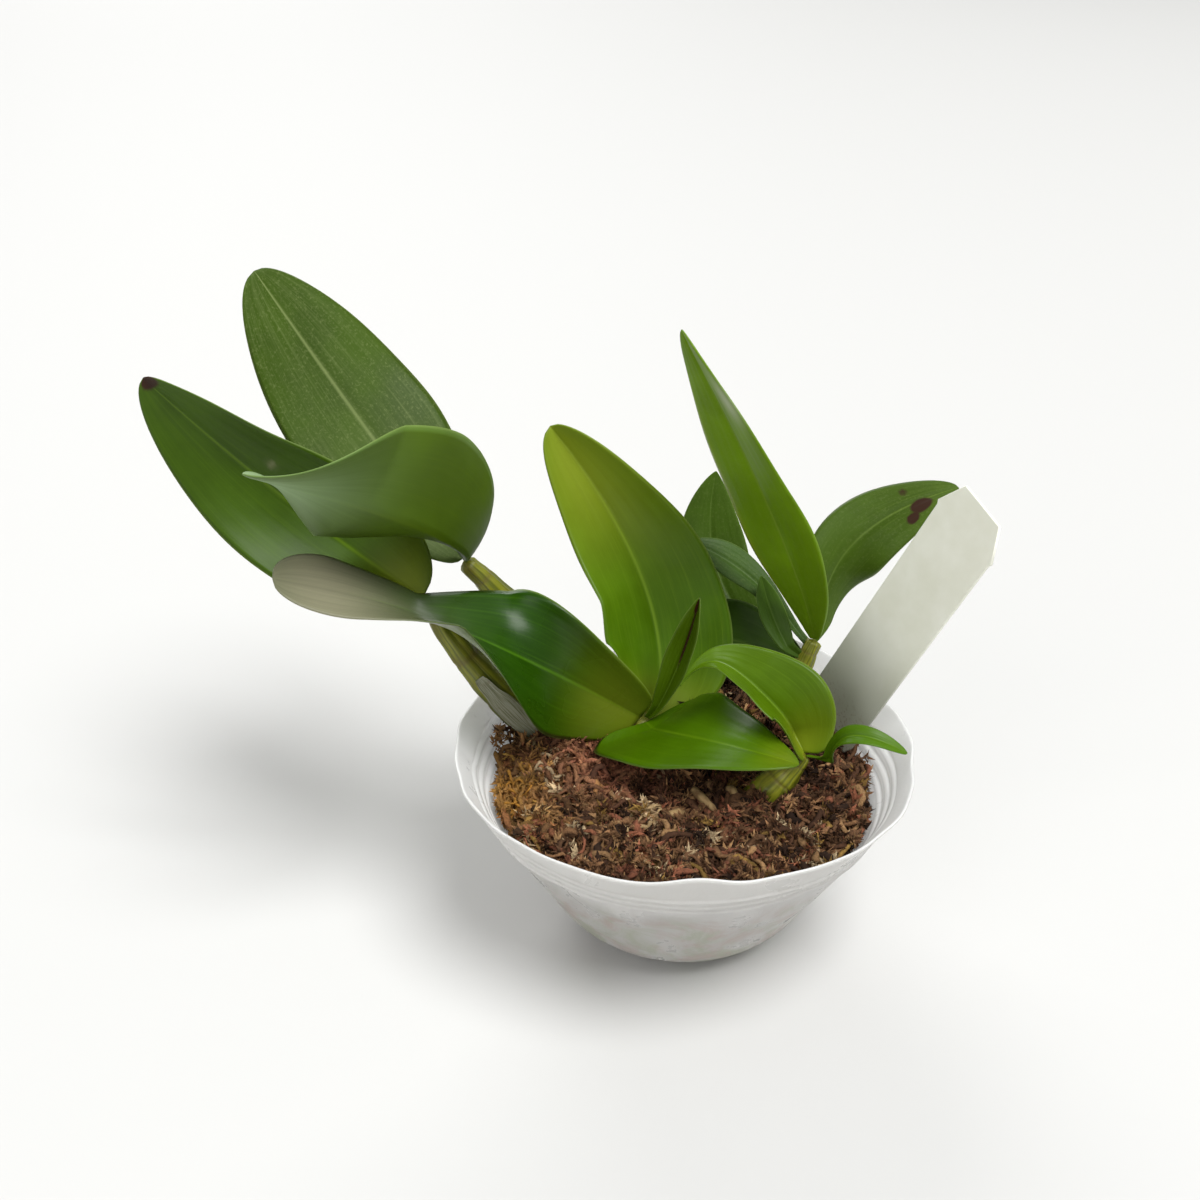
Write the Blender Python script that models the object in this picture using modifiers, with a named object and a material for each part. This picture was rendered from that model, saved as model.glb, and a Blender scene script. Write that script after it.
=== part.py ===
"""Dendrobium orchid growing in moss in a soft plastic pot, with its plant label.

The origin is the centre of the pot's flat bottom, on the surface it stands on.
+Z is up, +X is to the right and +Y is away from the viewer.
Lengths are written in millimetres and turned into metres by MM.
"""
import math
from collections import namedtuple

import bmesh
import bpy
import numpy as np
from mathutils import Euler, Vector, noise

MM = 0.001
GAP = 0.35

# Pot, all in millimetres
RIM_RADIUS = 55.5
POT_HEIGHT = 50.0
POT_WALL = 0.8
FLAT_RADIUS = 12.0
CORNER_RADIUS = 25.0
CORNER_POINTS = 8
RIDGE_DEPTHS = (7.0, 10.0, 13.0)
RIDGE_HEIGHT = 0.5
POT_STEPS = 36
LIP_WAVE_START = 43.0
DRAIN_COUNT = 6
DRAIN_RADIUS = 2.0
DRAIN_CIRCLE = 8.0

# Moss
MOSS_LEVEL = 36.5
MOSS_STEPS = 40
MOSS_RINGS = 14
MOSS_CLEARANCE = 0.5
MOSS_SKIRT = 11.0
STRAND_COUNT = 34
STRAND_RADIUS = 1.0
STRAND_SEED = 7
STRAND_INSET = 3.0

# Label
LABEL_WIDTH = 20.0
LABEL_LENGTH = 98.0
LABEL_THICKNESS = 0.8
LABEL_SHOULDER = 8.0
LABEL_CORNER = 3.5
LABEL_POINT = 22.0
LABEL_HEAD = (64.0, -4.0, 115.0)
LABEL_TURN = (80.5, 23.9, -62.6)

# Leaves
BLADE_THICKNESS = 0.8
BLADE_ROWS = 13
BLADE_COLUMNS = 6
TIP_HALF_WIDTH = 0.9
SEAT_DEPTH = 1.2
LOBE_SHARE = 0.3

# A stem is a tapered tube: foot, bow and top are the points of its curve,
# and the radii are those of its foot, its swollen belly and its top.
Stem = namedtuple("Stem", "name foot bow top radii")
STEMS = [
    Stem("cane_left_upper", (-15, 33, 25), (-33, 31.5, 61.5), (-54, 26, 87), (2.4, 4.6, 2.2)),
    Stem("cane_left_lower", (-23, 24, 25), (-49, 16, 54), (-64, 21, 79), (2.4, 4.4, 2.0)),
    Stem("cane_centre", (-8, 27, 27.5), (-8, 26, 35), (-8.8, 20.5, 44.0), (2.6, 3.2, 2.6)),
    Stem("cane_front", (15, -3, 27), (19, -3, 36), (30, 0, 47), (3.0, 5.2, 2.0)),
    Stem("cane_back", (22, 27, 26), (29, 31, 44), (36, 34, 60), (2.4, 3.4, 2.0)),
]

ROOTS = [
    Stem("root_left", (1, 6, 32), (1, -8, 46), (11, -12.5, 33), (1.0, 1.1, 0.9)),
    Stem("root_middle", (11, 2, 31), (11, -9, 50), (15, -9, 31), (1.0, 1.0, 0.9)),
    Stem("root_right", (2, -6, 31), (-2, -16, 46), (-9, -14, 31), (1.0, 1.1, 0.8)),
]

# A leaf's spine runs from its foot to its tip in millimetres. faces are the ways
# its upper side looks at evenly spaced places from foot to tip. width is the
# blade's full width, widest the place of that width, blunt and tip the powers of
# its outline below and above that place, and lobe how far each edge reaches back
# near the foot. fold is the rise of each half at foot and tip in degrees, cup is
# the further rise from the middle to the edge, and foot is the width at the cane.
Leaf = namedtuple("Leaf", "name stem spine faces width widest blunt tip lobe fold cup foot")
LEAVES = [
    Leaf("leaf_left_high", "cane_left_upper", [(-55.5, 29, 87.5), (-78, 47, 110.5), (-103.4, 48, 153.6)],
         [(0.25, -0.85, 0.5), (0.4, -0.7, 0.55)], 37, 0.50, 0.64, 0.50, (0, 0), (10, -4), -5, 3.4),
    Leaf("leaf_left_far", "cane_left_lower", [(-65, 22.5, 79), (-94.5, 25.5, 99.5), (-124.8, 21, 136)],
         [(0.1, -0.7, 0.7), (-0.3, -0.95, 0.0)], 35.5, 0.42, 0.57, 0.52, (0, 0), (21, 10), 22, 3.4),
    Leaf("leaf_left_folded", "cane_left_upper",
         [(-52, 21.5, 89), (-53.0, -3.5, 110), (-93.8, -19.5, 129)],
         [(0.0, 1.0, 0.1), (0.0, 1.0, 0.1), (-0.3, 0.9, 0.4), (0.2, 0.3, 0.9)],
         46, 0.46, 0.80, 0.60, (0, 0), (45, -6), 24, 4.0),
    Leaf("leaf_front_left", "cane_centre",
         [(-15.2, 19.2, 48.8), (-52, 4, 80), (-70, 0.5, 90.5), (-92.3, -11.5, 101)],
         [(0.0, -1.0, 0.1), (-0.1, -0.5, 0.85), (0.4, 0.4, 0.85), (0.65, 0.15, 0.75), (0.55, -0.35, 0.75)],
         33, 0.33, 0.50, 0.40, (0, -7), (12, -2), 11, 2.2),
    Leaf("leaf_centre", "cane_centre", [(-5.5, 25.5, 44.5), (1, 46.5, 67.8), (-33, 51, 113)],
         [(0.3, -0.85, 0.4), (0.35, -0.85, 0.4), (-0.05, -1.0, 0.15)],
         39, 0.36, 0.55, 0.46, (-3, 0), (17, 18), 24, 4.0),
    Leaf("leaf_front", "cane_centre", [(-7.5, 17.0, 43.5), (-4, 6.5, 48.8), (6, -5, 55), (26.2, -14.4,
         53.6)],
         [(0.05, -0.5, 0.85), (0.2, -0.17, 0.95)], 32.5, 0.30, 0.40, 0.60, (3, 5), (6, 4), 2, 3.6),
    Leaf("leaf_new", "cane_centre", [(-6.5, 18.7, 46.5), (1.5, 23.0, 60), (4.5, 22.5, 78.4)],
         [(-0.35, -0.85, 0.4), (-0.35, -0.85, 0.4)], 10, 0.56, 0.7, 0.7, (0, 0), (41, 41), 11, 2.2),
    Leaf("leaf_right_cupped", "cane_front",
         [(28.6, 4.6, 46.6), (24.2, 3.2, 61.2), (15.9, 7.9, 57.8), (9.1, 10.8, 78.4), (-0.6, 9.0, 61)],
         [(0, -0.6, 0.8), (0.1, -0.5, 0.85), (0.1, -0.4, 0.9), (-0.4, -0.2, 0.9), (-0.9, -0.3, 0.2)],
         27, 0.23, 1.05, 1.2, (-6, 0), (54, 10), 14, 2.0),
    Leaf("leaf_right_narrow", "cane_front", [(35.2, -4.6, 46.8), (33.5, -12.5, 67), (51.0, -15.0, 57.2)],
         [(-0.1, -0.45, 0.9), (0.1, -0.4, 0.9)], 5.6, 0.57, 0.5, 0.5, (0, 0), (18, 7), 5, 1.8),
    Leaf("leaf_right_tall", "cane_back",
         [(35.5, 32.5, 62.5), (28, 29.5, 91), (-1.3, 31, 144.3)],
         [(-0.55, -0.8, -0.25), (-0.7, -0.65, -0.35), (-0.8, -0.45, -0.4)],
         26, 0.55, 0.78, 0.62, (0, 0), (1, 15), -7, 3.0),
    Leaf("leaf_right_arched", "cane_back", [(39, 39, 56.5), (34, 45, 86.5), (72, 46, 98)],
         [(0.5, -0.45, 0.75), (0.25, -0.4, 0.9)], 19.5, 0.58, 0.6, 0.52, (0, 0), (8, 2), -8, 3.0),
    Leaf("leaf_back", "cane_back", [(31.5, 40, 51), (4.5, 63, 58.5), (11.5, 69.5, 93)],
         [(0.05, -0.85, 0.5), (0.05, -0.85, 0.5)], 19, 0.62, 0.75, 0.75, (0, 0), (14, 6), 8, 3.0),
    Leaf("leaf_back_folded", "cane_back", [(33.5, 35.5, 58.5), (21, 48.5, 75), (2.5, 46.5, 82.5)],
         [(0.05, -0.55, 0.8), (0.0, -0.55, 0.8)], 10, 0.66, 0.85, 0.85, (0, 0), (13, 6), 7, 2.4),
    Leaf("leaf_back_low", "cane_back", [(33.5, 32.5, 52.5), (15, 43.5, 57), (2, 46.5, 55)],
         [(0.0, -0.5, 0.85), (-0.15, -0.55, 0.8)], 22, 0.57, 0.6, 0.6, (0, 0), (13, 10), 14, 3.0),
    Leaf("leaf_back_small", "cane_back", [(29.5, 31.5, 57.5), (24, 39, 65.5), (21.8, 40.5, 75.5)],
         [(0.1, -0.9, 0.4), (0.05, -0.9, 0.4)], 7, 0.52, 0.7, 0.7, (0, 0), (15, 10), 12, 2.4),
]


def clear_scene():
    """Remove what the startup scene holds."""
    for thing in list(bpy.data.objects):
        bpy.data.objects.remove(thing, do_unlink=True)


def new_collection(name):
    group = bpy.data.collections.new(name)
    bpy.context.scene.collection.children.link(group)
    return group


def material(name, colour, roughness, alpha=1.0):
    """A Principled material with one colour and one roughness."""
    made = bpy.data.materials.new(name)
    made.use_nodes = True
    shader = made.node_tree.nodes["Principled BSDF"]
    shader.inputs["Base Color"].default_value = (*colour, 1.0)
    shader.inputs["Roughness"].default_value = roughness
    shader.inputs["Alpha"].default_value = alpha
    return made


def add_object(name, mesh, group, finish=None):
    made = bpy.data.objects.new(name, mesh)
    group.objects.link(made)
    if finish is not None:
        mesh.materials.clear()
        mesh.materials.append(finish)
    return made


def hide_cutter(made):
    made.hide_render = True
    made.display_type = "WIRE"


def evaluated_mesh(made):
    """The mesh of an object as its modifiers or its curve leave it."""
    bpy.context.view_layer.update()
    graph = bpy.context.evaluated_depsgraph_get()
    return bpy.data.meshes.new_from_object(made.evaluated_get(graph))


def made_mesh(made, group, finish=None):
    """Turn a curve or a modified object into a plain mesh object of the same name."""
    mesh = evaluated_mesh(made)
    place = made.matrix_world.copy()
    name = made.name
    bpy.data.objects.remove(made, do_unlink=True)
    work = bmesh.new()
    work.from_mesh(mesh)
    bmesh.ops.remove_doubles(work, verts=work.verts, dist=0.00001)
    work.to_mesh(mesh)
    work.free()
    result = add_object(name, mesh, group, finish)
    result.matrix_world = place
    return result


def cut(made, cutter, operation="DIFFERENCE", solver="EXACT"):
    step = made.modifiers.new(operation.title(), "BOOLEAN")
    step.operation = operation
    step.solver = solver
    step.object = cutter
    return step


def bezier(points, share):
    """Point and direction of a Bezier curve at each share of its length."""
    points = [np.array(point, float) for point in points]
    share = share[:, None]
    levels = [np.broadcast_to(point, (len(share), 3)) for point in points]
    while len(levels) > 2:
        levels = [a * (1 - share) + b * share for a, b in zip(levels, levels[1:])]
    return levels[0] * (1 - share) + levels[1] * share, levels[1] - levels[0]


def unit(vectors):
    vectors = np.asarray(vectors, float)
    return vectors / np.linalg.norm(vectors, axis=-1, keepdims=True)


def pot_profile():
    """Outer side from lip to floor centre, then the inner side back up, as (radius, height)."""
    rise = POT_HEIGHT - CORNER_RADIUS
    run = RIM_RADIUS - FLAT_RADIUS
    wall_angle = math.atan2(rise, run) - math.acos(CORNER_RADIUS / math.hypot(run, rise))
    corner = []
    for angle in np.linspace(wall_angle, -math.pi / 2, CORNER_POINTS):
        across = FLAT_RADIUS + CORNER_RADIUS * math.cos(angle)
        corner.append((across, CORNER_RADIUS * (1 + math.sin(angle))))
    top = Vector((RIM_RADIUS, POT_HEIGHT))
    down = (Vector(corner[0]) - top).normalized()
    out = Vector((-down.y, down.x))
    outer = [top]
    for depth in RIDGE_DEPTHS:
        outer.append(top + down * (depth - 0.9))
        outer.append(top + down * depth + out * RIDGE_HEIGHT)
        outer.append(top + down * (depth + 0.9))
    outer += [Vector(point) for point in corner]
    inner = [top - out * POT_WALL]
    for depth in RIDGE_DEPTHS:
        inner.append(top + down * (depth - 0.9) - out * POT_WALL)
        inner.append(top + down * depth - out * (POT_WALL - RIDGE_HEIGHT))
        inner.append(top + down * (depth + 0.9) - out * POT_WALL)
    reach = CORNER_RADIUS - POT_WALL
    for angle in np.linspace(wall_angle, -math.pi / 2, CORNER_POINTS):
        across = FLAT_RADIUS + reach * math.cos(angle)
        inner.append(Vector((across, CORNER_RADIUS + reach * math.sin(angle))))
    return outer + [Vector((0, 0))] + [Vector((0, POT_WALL))] + inner[::-1] + [top]


def turned(name, profile, steps, group):
    """Turn a (radius, height) profile in millimetres round Z."""
    mesh = bpy.data.meshes.new(name)
    verts = [(radius * MM, 0, height * MM) for radius, height in profile]
    mesh.from_pydata(verts, [(i, i + 1) for i in range(len(verts) - 1)], [])
    made = add_object(name, mesh, group)
    screw = made.modifiers.new("Turn", "SCREW")
    screw.steps = steps
    screw.render_steps = steps
    screw.use_merge_vertices = True
    screw.merge_threshold = 0.00005
    screw.use_smooth_shade = False
    return made_mesh(made, group)


def lip_wave(angle):
    """Rise and outward push of the soft lip at an angle round the pot, in millimetres."""
    bulge = np.exp(-((angle - math.radians(55)) / 0.45) ** 2)
    dent = np.exp(-((angle - math.radians(112)) / 0.35) ** 2)
    flap = np.exp(-((angle - math.radians(-90)) / 0.16) ** 2)
    rise = 3.5 * bulge - 3.5 * dent + 2.2 * flap + 0.35 * np.sin(5 * angle + 1.0)
    push = 2.0 * bulge - 0.8 * dent - 0.8 * flap + 0.6 * np.cos(2 * angle) + 0.3 * np.sin(7 * angle)
    return rise, push


def mesh_points(mesh):
    flat = np.empty(len(mesh.vertices) * 3)
    mesh.vertices.foreach_get("co", flat)
    return flat.reshape(-1, 3) / MM


def set_mesh_points(mesh, points):
    mesh.vertices.foreach_set("co", (points * MM).ravel())
    mesh.update()


def make_pot(group, cutters, finish):
    pot = turned("pot", pot_profile(), POT_STEPS, group)
    points = mesh_points(pot.data)
    angle = np.arctan2(points[:, 1], points[:, 0])
    radius = np.hypot(points[:, 0], points[:, 1])
    share = np.clip((points[:, 2] - LIP_WAVE_START) / (POT_HEIGHT - LIP_WAVE_START), 0, 1) ** 1.5
    rise, push = lip_wave(angle)
    scale = 1 + share * push / np.maximum(radius, 1)
    points[:, 0] *= scale
    points[:, 1] *= scale
    points[:, 2] += share * rise
    set_mesh_points(pot.data, points)
    pot.data.materials.append(finish)
    holes = bmesh.new()
    for number in range(DRAIN_COUNT):
        angle = 2 * math.pi * number / DRAIN_COUNT
        spot = Vector((DRAIN_CIRCLE * math.cos(angle), DRAIN_CIRCLE * math.sin(angle), 0)) * MM
        drill = bmesh.ops.create_cone(holes, cap_ends=True, segments=12, radius1=DRAIN_RADIUS * MM,
                                      radius2=DRAIN_RADIUS * MM, depth=6 * MM)
        bmesh.ops.translate(holes, verts=drill["verts"], vec=spot)
    mesh = bpy.data.meshes.new("drain_drill")
    holes.to_mesh(mesh)
    holes.free()
    drills = add_object("drain_drill", mesh, cutters)
    hide_cutter(drills)
    cut(pot, drills)
    return pot


def moss_height(x, y):
    """Height of the moss at a place: higher at the back, with tufts, crumbs and a hollow
    round the middle cane."""
    ramp = np.clip((y + 4) / 28, 0, 1)
    lean = 6.5 * ramp * ramp * (3 - 2 * ramp) - 0.16 * np.clip(y - 26, 0, 20)
    hollow = 4.5 * np.exp(-(((x + 6) / 15) ** 2 + ((y - 17) / 11) ** 2))
    tufts = 1.1 * np.sin(0.31 * x + 0.9) * np.cos(0.27 * y - 0.4) + 0.8 * np.sin(0.55 * x - 0.38 * y + 2.0)
    lumps = np.array([noise.noise(Vector((a * 0.16, b * 0.16, 3.1))) for a, b in zip(x, y)])
    crumbs = np.array([noise.noise(Vector((a * 0.45, b * 0.45, 7.7))) for a, b in zip(x, y)])
    return MOSS_LEVEL + lean - hollow + tufts + 2.6 * lumps + 1.4 * crumbs


def wall_radius(height):
    """Inside radius of the pot's straight wall at a height."""
    slope = math.tan(math.radians(30.0))
    return RIM_RADIUS - POT_WALL / math.cos(math.radians(30.0)) - (POT_HEIGHT - height) * slope


def moss_profile():
    """Closed profile of the moss: level top, then down inside the wall and across the floor."""
    inner = [point for point in pot_profile()]
    middle = inner.index(Vector((0, 0)))
    wall = inner[middle + 1:-2]
    below = []
    for point in wall:
        if point.y < MOSS_LEVEL - MOSS_SKIRT:
            below.append(point)
    shrunk = []
    for point in below:
        shrunk.append(Vector((max(point.x - MOSS_CLEARANCE, 0), max(point.y, POT_WALL) + MOSS_CLEARANCE)))
    top_radius = wall_radius(MOSS_LEVEL - 2) - 2 * MOSS_CLEARANCE
    rings = [Vector((top_radius * share, MOSS_LEVEL)) for share in np.linspace(0, 1, MOSS_RINGS)]
    return rings + shrunk[::-1]


def strand_path(draw):
    """Points of one curled strand of moss that starts and ends below the surface."""
    angle = draw.uniform(0, 2 * math.pi)
    reach = 43 * math.sqrt(draw.uniform(0.02, 1.0))
    start = Vector((reach * math.cos(angle), reach * math.sin(angle) - 1, 0))
    heading = draw.uniform(0, 2 * math.pi)
    length = draw.uniform(9, 17)
    lift = draw.uniform(1.2, 2.6)
    bend = draw.uniform(-1.6, 1.6)
    points = []
    place = start.copy()
    steps = 7
    for step in range(steps + 1):
        share = step / steps
        radius = math.hypot(place.x, place.y)
        ground = float(moss_height(np.array([place.x]), np.array([place.y]))[0])
        limit = wall_radius(ground) - STRAND_INSET
        if radius > limit:
            place *= limit / radius
        arch = lift * math.sin(math.pi * share) - 1.6 * (1 - math.sin(math.pi * share))
        points.append(Vector((place.x, place.y, ground + arch)))
        turn = heading + bend * share
        place = place + Vector((math.cos(turn), math.sin(turn), 0)) * (length / steps)
    return points


def tube_curve(name, paths, group, resolution):
    """A bevelled curve with one spline for each list of (point, radius) in millimetres."""
    curve = bpy.data.curves.new(name, "CURVE")
    curve.dimensions = "3D"
    curve.bevel_depth = MM
    curve.bevel_resolution = resolution
    curve.use_fill_caps = True
    for path in paths:
        spline = curve.splines.new("POLY")
        spline.points.add(len(path) - 1)
        for node, (point, radius) in zip(spline.points, path):
            node.co = (point[0] * MM, point[1] * MM, point[2] * MM, 1)
            node.radius = radius
    made = bpy.data.objects.new(name, curve)
    group.objects.link(made)
    return made


def stem_path(stem, extra=0.0, points=10):
    """Centre points and radii of a stem, swollen at its belly."""
    share = np.linspace(0, 1, points)
    centre, _ = bezier([stem.foot, stem.bow, stem.top], share)
    foot, belly, top = stem.radii
    plain = foot * (1 - share) + top * share
    radius = plain + (belly - (foot + top) / 2) * np.sin(math.pi * share ** 0.9) ** 1.3
    return [(point, size + extra) for point, size in zip(centre, radius)]


def make_stem(stem, group, finish):
    made = tube_curve(stem.name, [stem_path(stem)], group, 2)
    return made_mesh(made, group, finish)


def stem_cutter(stem, cutters, name):
    """The stem with the clearance round it, a little longer at its foot."""
    path = stem_path(stem, GAP)
    first, second = Vector(path[0][0]), Vector(path[1][0])
    path[0] = (first + (first - second).normalized() * GAP, path[0][1])
    last, before = Vector(path[-1][0]), Vector(path[-2][0])
    path[-1] = (last + (last - before).normalized() * GAP, path[-1][1])
    made = made_mesh(tube_curve(name, [path], cutters, 2), cutters)
    hide_cutter(made)
    return made


def label_outline(grow=0.0):
    half = LABEL_WIDTH / 2 + grow
    return [
        (-half + LABEL_CORNER, grow),
        (half - LABEL_CORNER, grow),
        (half + 0.5, -LABEL_SHOULDER),
        (half, -LABEL_SHOULDER - 1),
        (half, -LABEL_LENGTH + LABEL_POINT),
        (2.0 + grow, -LABEL_LENGTH - grow),
        (-2.0 - grow, -LABEL_LENGTH - grow),
        (-half, -LABEL_LENGTH + LABEL_POINT),
        (-half, -LABEL_SHOULDER - 1),
        (-half - 0.5, -LABEL_SHOULDER),
    ]


def label_solid(name, group, grow=0.0):
    """The label's flat outline, extruded to its thickness and stood in its place."""
    curve = bpy.data.curves.new(name, "CURVE")
    curve.dimensions = "2D"
    curve.fill_mode = "BOTH"
    curve.extrude = (LABEL_THICKNESS / 2 + grow) * MM
    spline = curve.splines.new("POLY")
    outline = label_outline(grow)
    spline.points.add(len(outline) - 1)
    for node, (x, y) in zip(spline.points, outline):
        node.co = (x * MM, y * MM, 0, 1)
    spline.use_cyclic_u = True
    made = bpy.data.objects.new(name, curve)
    group.objects.link(made)
    made.location = Vector(LABEL_HEAD) * MM
    made.rotation_euler = Euler([math.radians(angle) for angle in LABEL_TURN], "XYZ")
    return made


def make_label(group, finish):
    return made_mesh(label_solid("label", group), group, finish)


def make_moss(group, cutters, finish):
    """Relief of tufts by formula, curled strands joined on, and plain holes for what stands in it."""
    moss = turned("moss", moss_profile(), MOSS_STEPS, group)
    points = mesh_points(moss.data)
    top = points[:, 2] > MOSS_LEVEL - 0.01
    points[top, 2] = moss_height(points[top, 0], points[top, 1])
    limit = wall_radius(points[top, 2]) - 2 * MOSS_CLEARANCE
    inset = np.minimum(limit / np.maximum(np.hypot(points[top, 0], points[top, 1]), 1), 1)
    points[top, :2] *= inset[:, None]
    set_mesh_points(moss.data, points)
    moss.data.materials.append(finish)

    draw = np.random.default_rng(STRAND_SEED)
    strands = new_collection("moss strands")
    for number in range(STRAND_COUNT):
        path = strand_path(draw)
        sizes = STRAND_RADIUS * (0.55 + 0.45 * np.sin(np.linspace(0.3, math.pi - 0.3, len(path))))
        strand = tube_curve("strand_%02d" % number, [list(zip(path, sizes))], strands, 1)
        made_mesh(strand, strands)
    union = moss.modifiers.new("Strands", "BOOLEAN")
    union.operation = "UNION"
    union.operand_type = "COLLECTION"
    union.solver = "MANIFOLD"
    union.collection = strands
    for thing in list(strands.objects):
        hide_cutter(thing)
    joined = evaluated_mesh(moss)
    moss.modifiers.clear()
    moss.data = joined
    for thing in list(strands.objects):
        bpy.data.objects.remove(thing, do_unlink=True)
    bpy.data.collections.remove(strands)

    holes = [stem_cutter(stem, cutters, stem.name + "_hole") for stem in STEMS + ROOTS]
    slot = made_mesh(label_solid("label_slot", cutters, GAP), cutters)
    hide_cutter(slot)
    for cutter in holes + [slot]:
        cut(moss, cutter, solver="MANIFOLD")
    return moss


def blade_points(leaf, share, across):
    """Points of a leaf's middle surface, share from foot to tip and across from edge to edge.

    The half width is that of a lance outline, a power of a sine. Each half rises
    from the spine by the fold, curves on upwards by the cup, and its edge is drawn
    back by the lobe near the foot.
    """
    centre, along = bezier(leaf.spine, share)
    along = unit(along)
    faces = unit(leaf.faces)
    places = np.linspace(0, 1, len(faces))
    face = np.stack([np.interp(share, places, faces[:, axis]) for axis in range(3)], axis=1)
    face = unit(face - (face * along).sum(1)[:, None] * along)
    side = np.cross(along, face)
    power = math.log(0.5) / math.log(leaf.widest)
    edge = np.where(share < leaf.widest, leaf.blunt, leaf.tip)
    half = leaf.width / 2 * np.sin(math.pi * share ** power) ** edge + leaf.foot / 2 * (1 - share) ** 3
    half = np.maximum(half, TIP_HALF_WIDTH)
    reach = np.abs(across)
    near = np.clip(share / LOBE_SHARE, 0, 1)
    back = np.where(across < 0, leaf.lobe[0], leaf.lobe[1]) * 4 * near * (1 - near) * reach ** 2
    centre = centre - back[:, None] * along
    fold = np.radians(leaf.fold[0] * (1 - share) + leaf.fold[1] * share)
    cup = math.radians(leaf.cup)
    out = (np.sin(fold + cup * reach) - np.sin(fold)) / cup
    rise = (np.cos(fold) - np.cos(fold + cup * reach)) / cup
    return centre + (half * np.sign(across) * out)[:, None] * side + (half * rise)[:, None] * face


def seat_shift(leaf):
    """How far the foot row moves so that it reaches SEAT_DEPTH into the side of its cane."""
    stem = [stem for stem in STEMS if stem.name == leaf.stem][0]
    path = stem_path(stem)
    foot = np.array(leaf.spine[0], float)
    axis, radius = min(path, key=lambda node: np.linalg.norm(node[0] - foot))
    outward = foot - axis
    distance = np.linalg.norm(outward)
    reach = min(distance, max(radius - SEAT_DEPTH, 0))
    return axis + outward / distance * reach - foot


def make_leaf(leaf, group, finish):
    """A grid bent by formula, split into triangles, thickened and trimmed round its cane."""
    work = bmesh.new()
    bmesh.ops.create_grid(work, x_segments=BLADE_COLUMNS, y_segments=BLADE_ROWS, size=1.0)
    bmesh.ops.triangulate(work, faces=work.faces)
    mesh = bpy.data.meshes.new(leaf.name)
    work.to_mesh(mesh)
    work.free()
    flat = mesh_points(mesh) * MM
    share = np.clip((flat[:, 1] + 1) / 2, 0, 1)
    points = blade_points(leaf, share, flat[:, 0])
    points[share < 0.001] += seat_shift(leaf)
    set_mesh_points(mesh, points)
    made = add_object(leaf.name, mesh, group, finish)
    wall = made.modifiers.new("Thickness", "SOLIDIFY")
    wall.thickness = BLADE_THICKNESS * MM
    wall.offset = 0.0
    cut(made, bpy.data.objects[leaf.stem + "_collar"], solver="MANIFOLD")
    return made


def main():
    clear_scene()
    plant = new_collection("dendrobium orchid")
    cutters = new_collection("cutters")
    plastic = material("clear plastic", (0.82, 0.82, 0.80), 0.35, 0.6)
    moss_brown = material("moss", (0.16, 0.07, 0.03), 0.95)
    label_white = material("label", (0.62, 0.61, 0.55), 0.45)
    cane_green = material("cane", (0.23, 0.24, 0.02), 0.5)
    root_tan = material("root", (0.35, 0.24, 0.12), 0.8)
    leaf_green = material("leaf", (0.06, 0.17, 0.01), 0.35)

    make_pot(plant, cutters, plastic)
    make_moss(plant, cutters, moss_brown)
    make_label(plant, label_white)
    for stem in STEMS:
        make_stem(stem, plant, cane_green)
        stem_cutter(stem, cutters, stem.name + "_collar")
    for root in ROOTS:
        make_stem(root, plant, root_tan)
    for leaf in LEAVES:
        make_leaf(leaf, plant, leaf_green)
    for made in plant.objects:
        made.data.set_sharp_from_angle(angle=math.radians(40))


main()
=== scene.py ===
"""Looks of a dendrobium orchid in moss in a soft clear pot, with its plant label.

Every finer piece repeats the shape of the solid that it stands for, from the same
sizes in millimetres, and adds the veins, ribs, strands and wear of the real plant;
some light and shade is painted into the colours as well.
"""
import math
from collections import namedtuple

import bpy
import numpy as np
from mathutils import Euler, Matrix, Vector


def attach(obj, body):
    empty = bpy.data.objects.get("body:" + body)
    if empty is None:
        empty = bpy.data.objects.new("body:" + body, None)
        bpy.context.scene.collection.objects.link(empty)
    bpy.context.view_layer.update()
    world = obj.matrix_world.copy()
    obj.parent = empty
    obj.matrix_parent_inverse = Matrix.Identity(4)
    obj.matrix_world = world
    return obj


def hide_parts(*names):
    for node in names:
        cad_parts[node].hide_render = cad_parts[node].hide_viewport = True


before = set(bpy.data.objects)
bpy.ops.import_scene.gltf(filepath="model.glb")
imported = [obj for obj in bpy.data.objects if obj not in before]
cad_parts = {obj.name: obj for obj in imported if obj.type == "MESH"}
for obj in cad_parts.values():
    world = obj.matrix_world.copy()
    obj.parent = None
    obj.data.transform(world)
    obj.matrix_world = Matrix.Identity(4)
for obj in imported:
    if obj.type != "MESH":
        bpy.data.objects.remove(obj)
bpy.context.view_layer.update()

bl_info = {
    "name": "Potted dendrobium orchid",
    "version": (1, 0, 0),
    "blender": (4, 5, 0),
    "location": "3D View > Sidebar > Orchid",
    "description": "Builds the leaves, canes, moss, pot and label of a potted orchid",
    "category": "Add Mesh",
}

MM = 0.001

# Sizes of the pot and its moss in millimetres; the wall leans out by about 30 degrees
RIM_RADIUS = 55.5
POT_HEIGHT = 50.0
POT_WALL = 0.8
FLAT_RADIUS = 12.0
CORNER_RADIUS = 25.0
WALL_LEAN = math.radians(30.0)
RIDGE_DEPTHS = (7.0, 10.0, 13.0)
RIDGE_HEIGHT = 0.5
RIDGE_WIDTH = 0.45
LIP_WAVE_START = 43.0
DRAIN_COUNT = 6
DRAIN_RADIUS = 2.0
DRAIN_CIRCLE = 8.0
DRAIN_LEVELS = (-1.0, 1.5)
MOSS_LEVEL = 36.5
MOSS_FLOOR = 1.6
BED_REACH = 45.2
STRAND_REACH = 44.5

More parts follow.
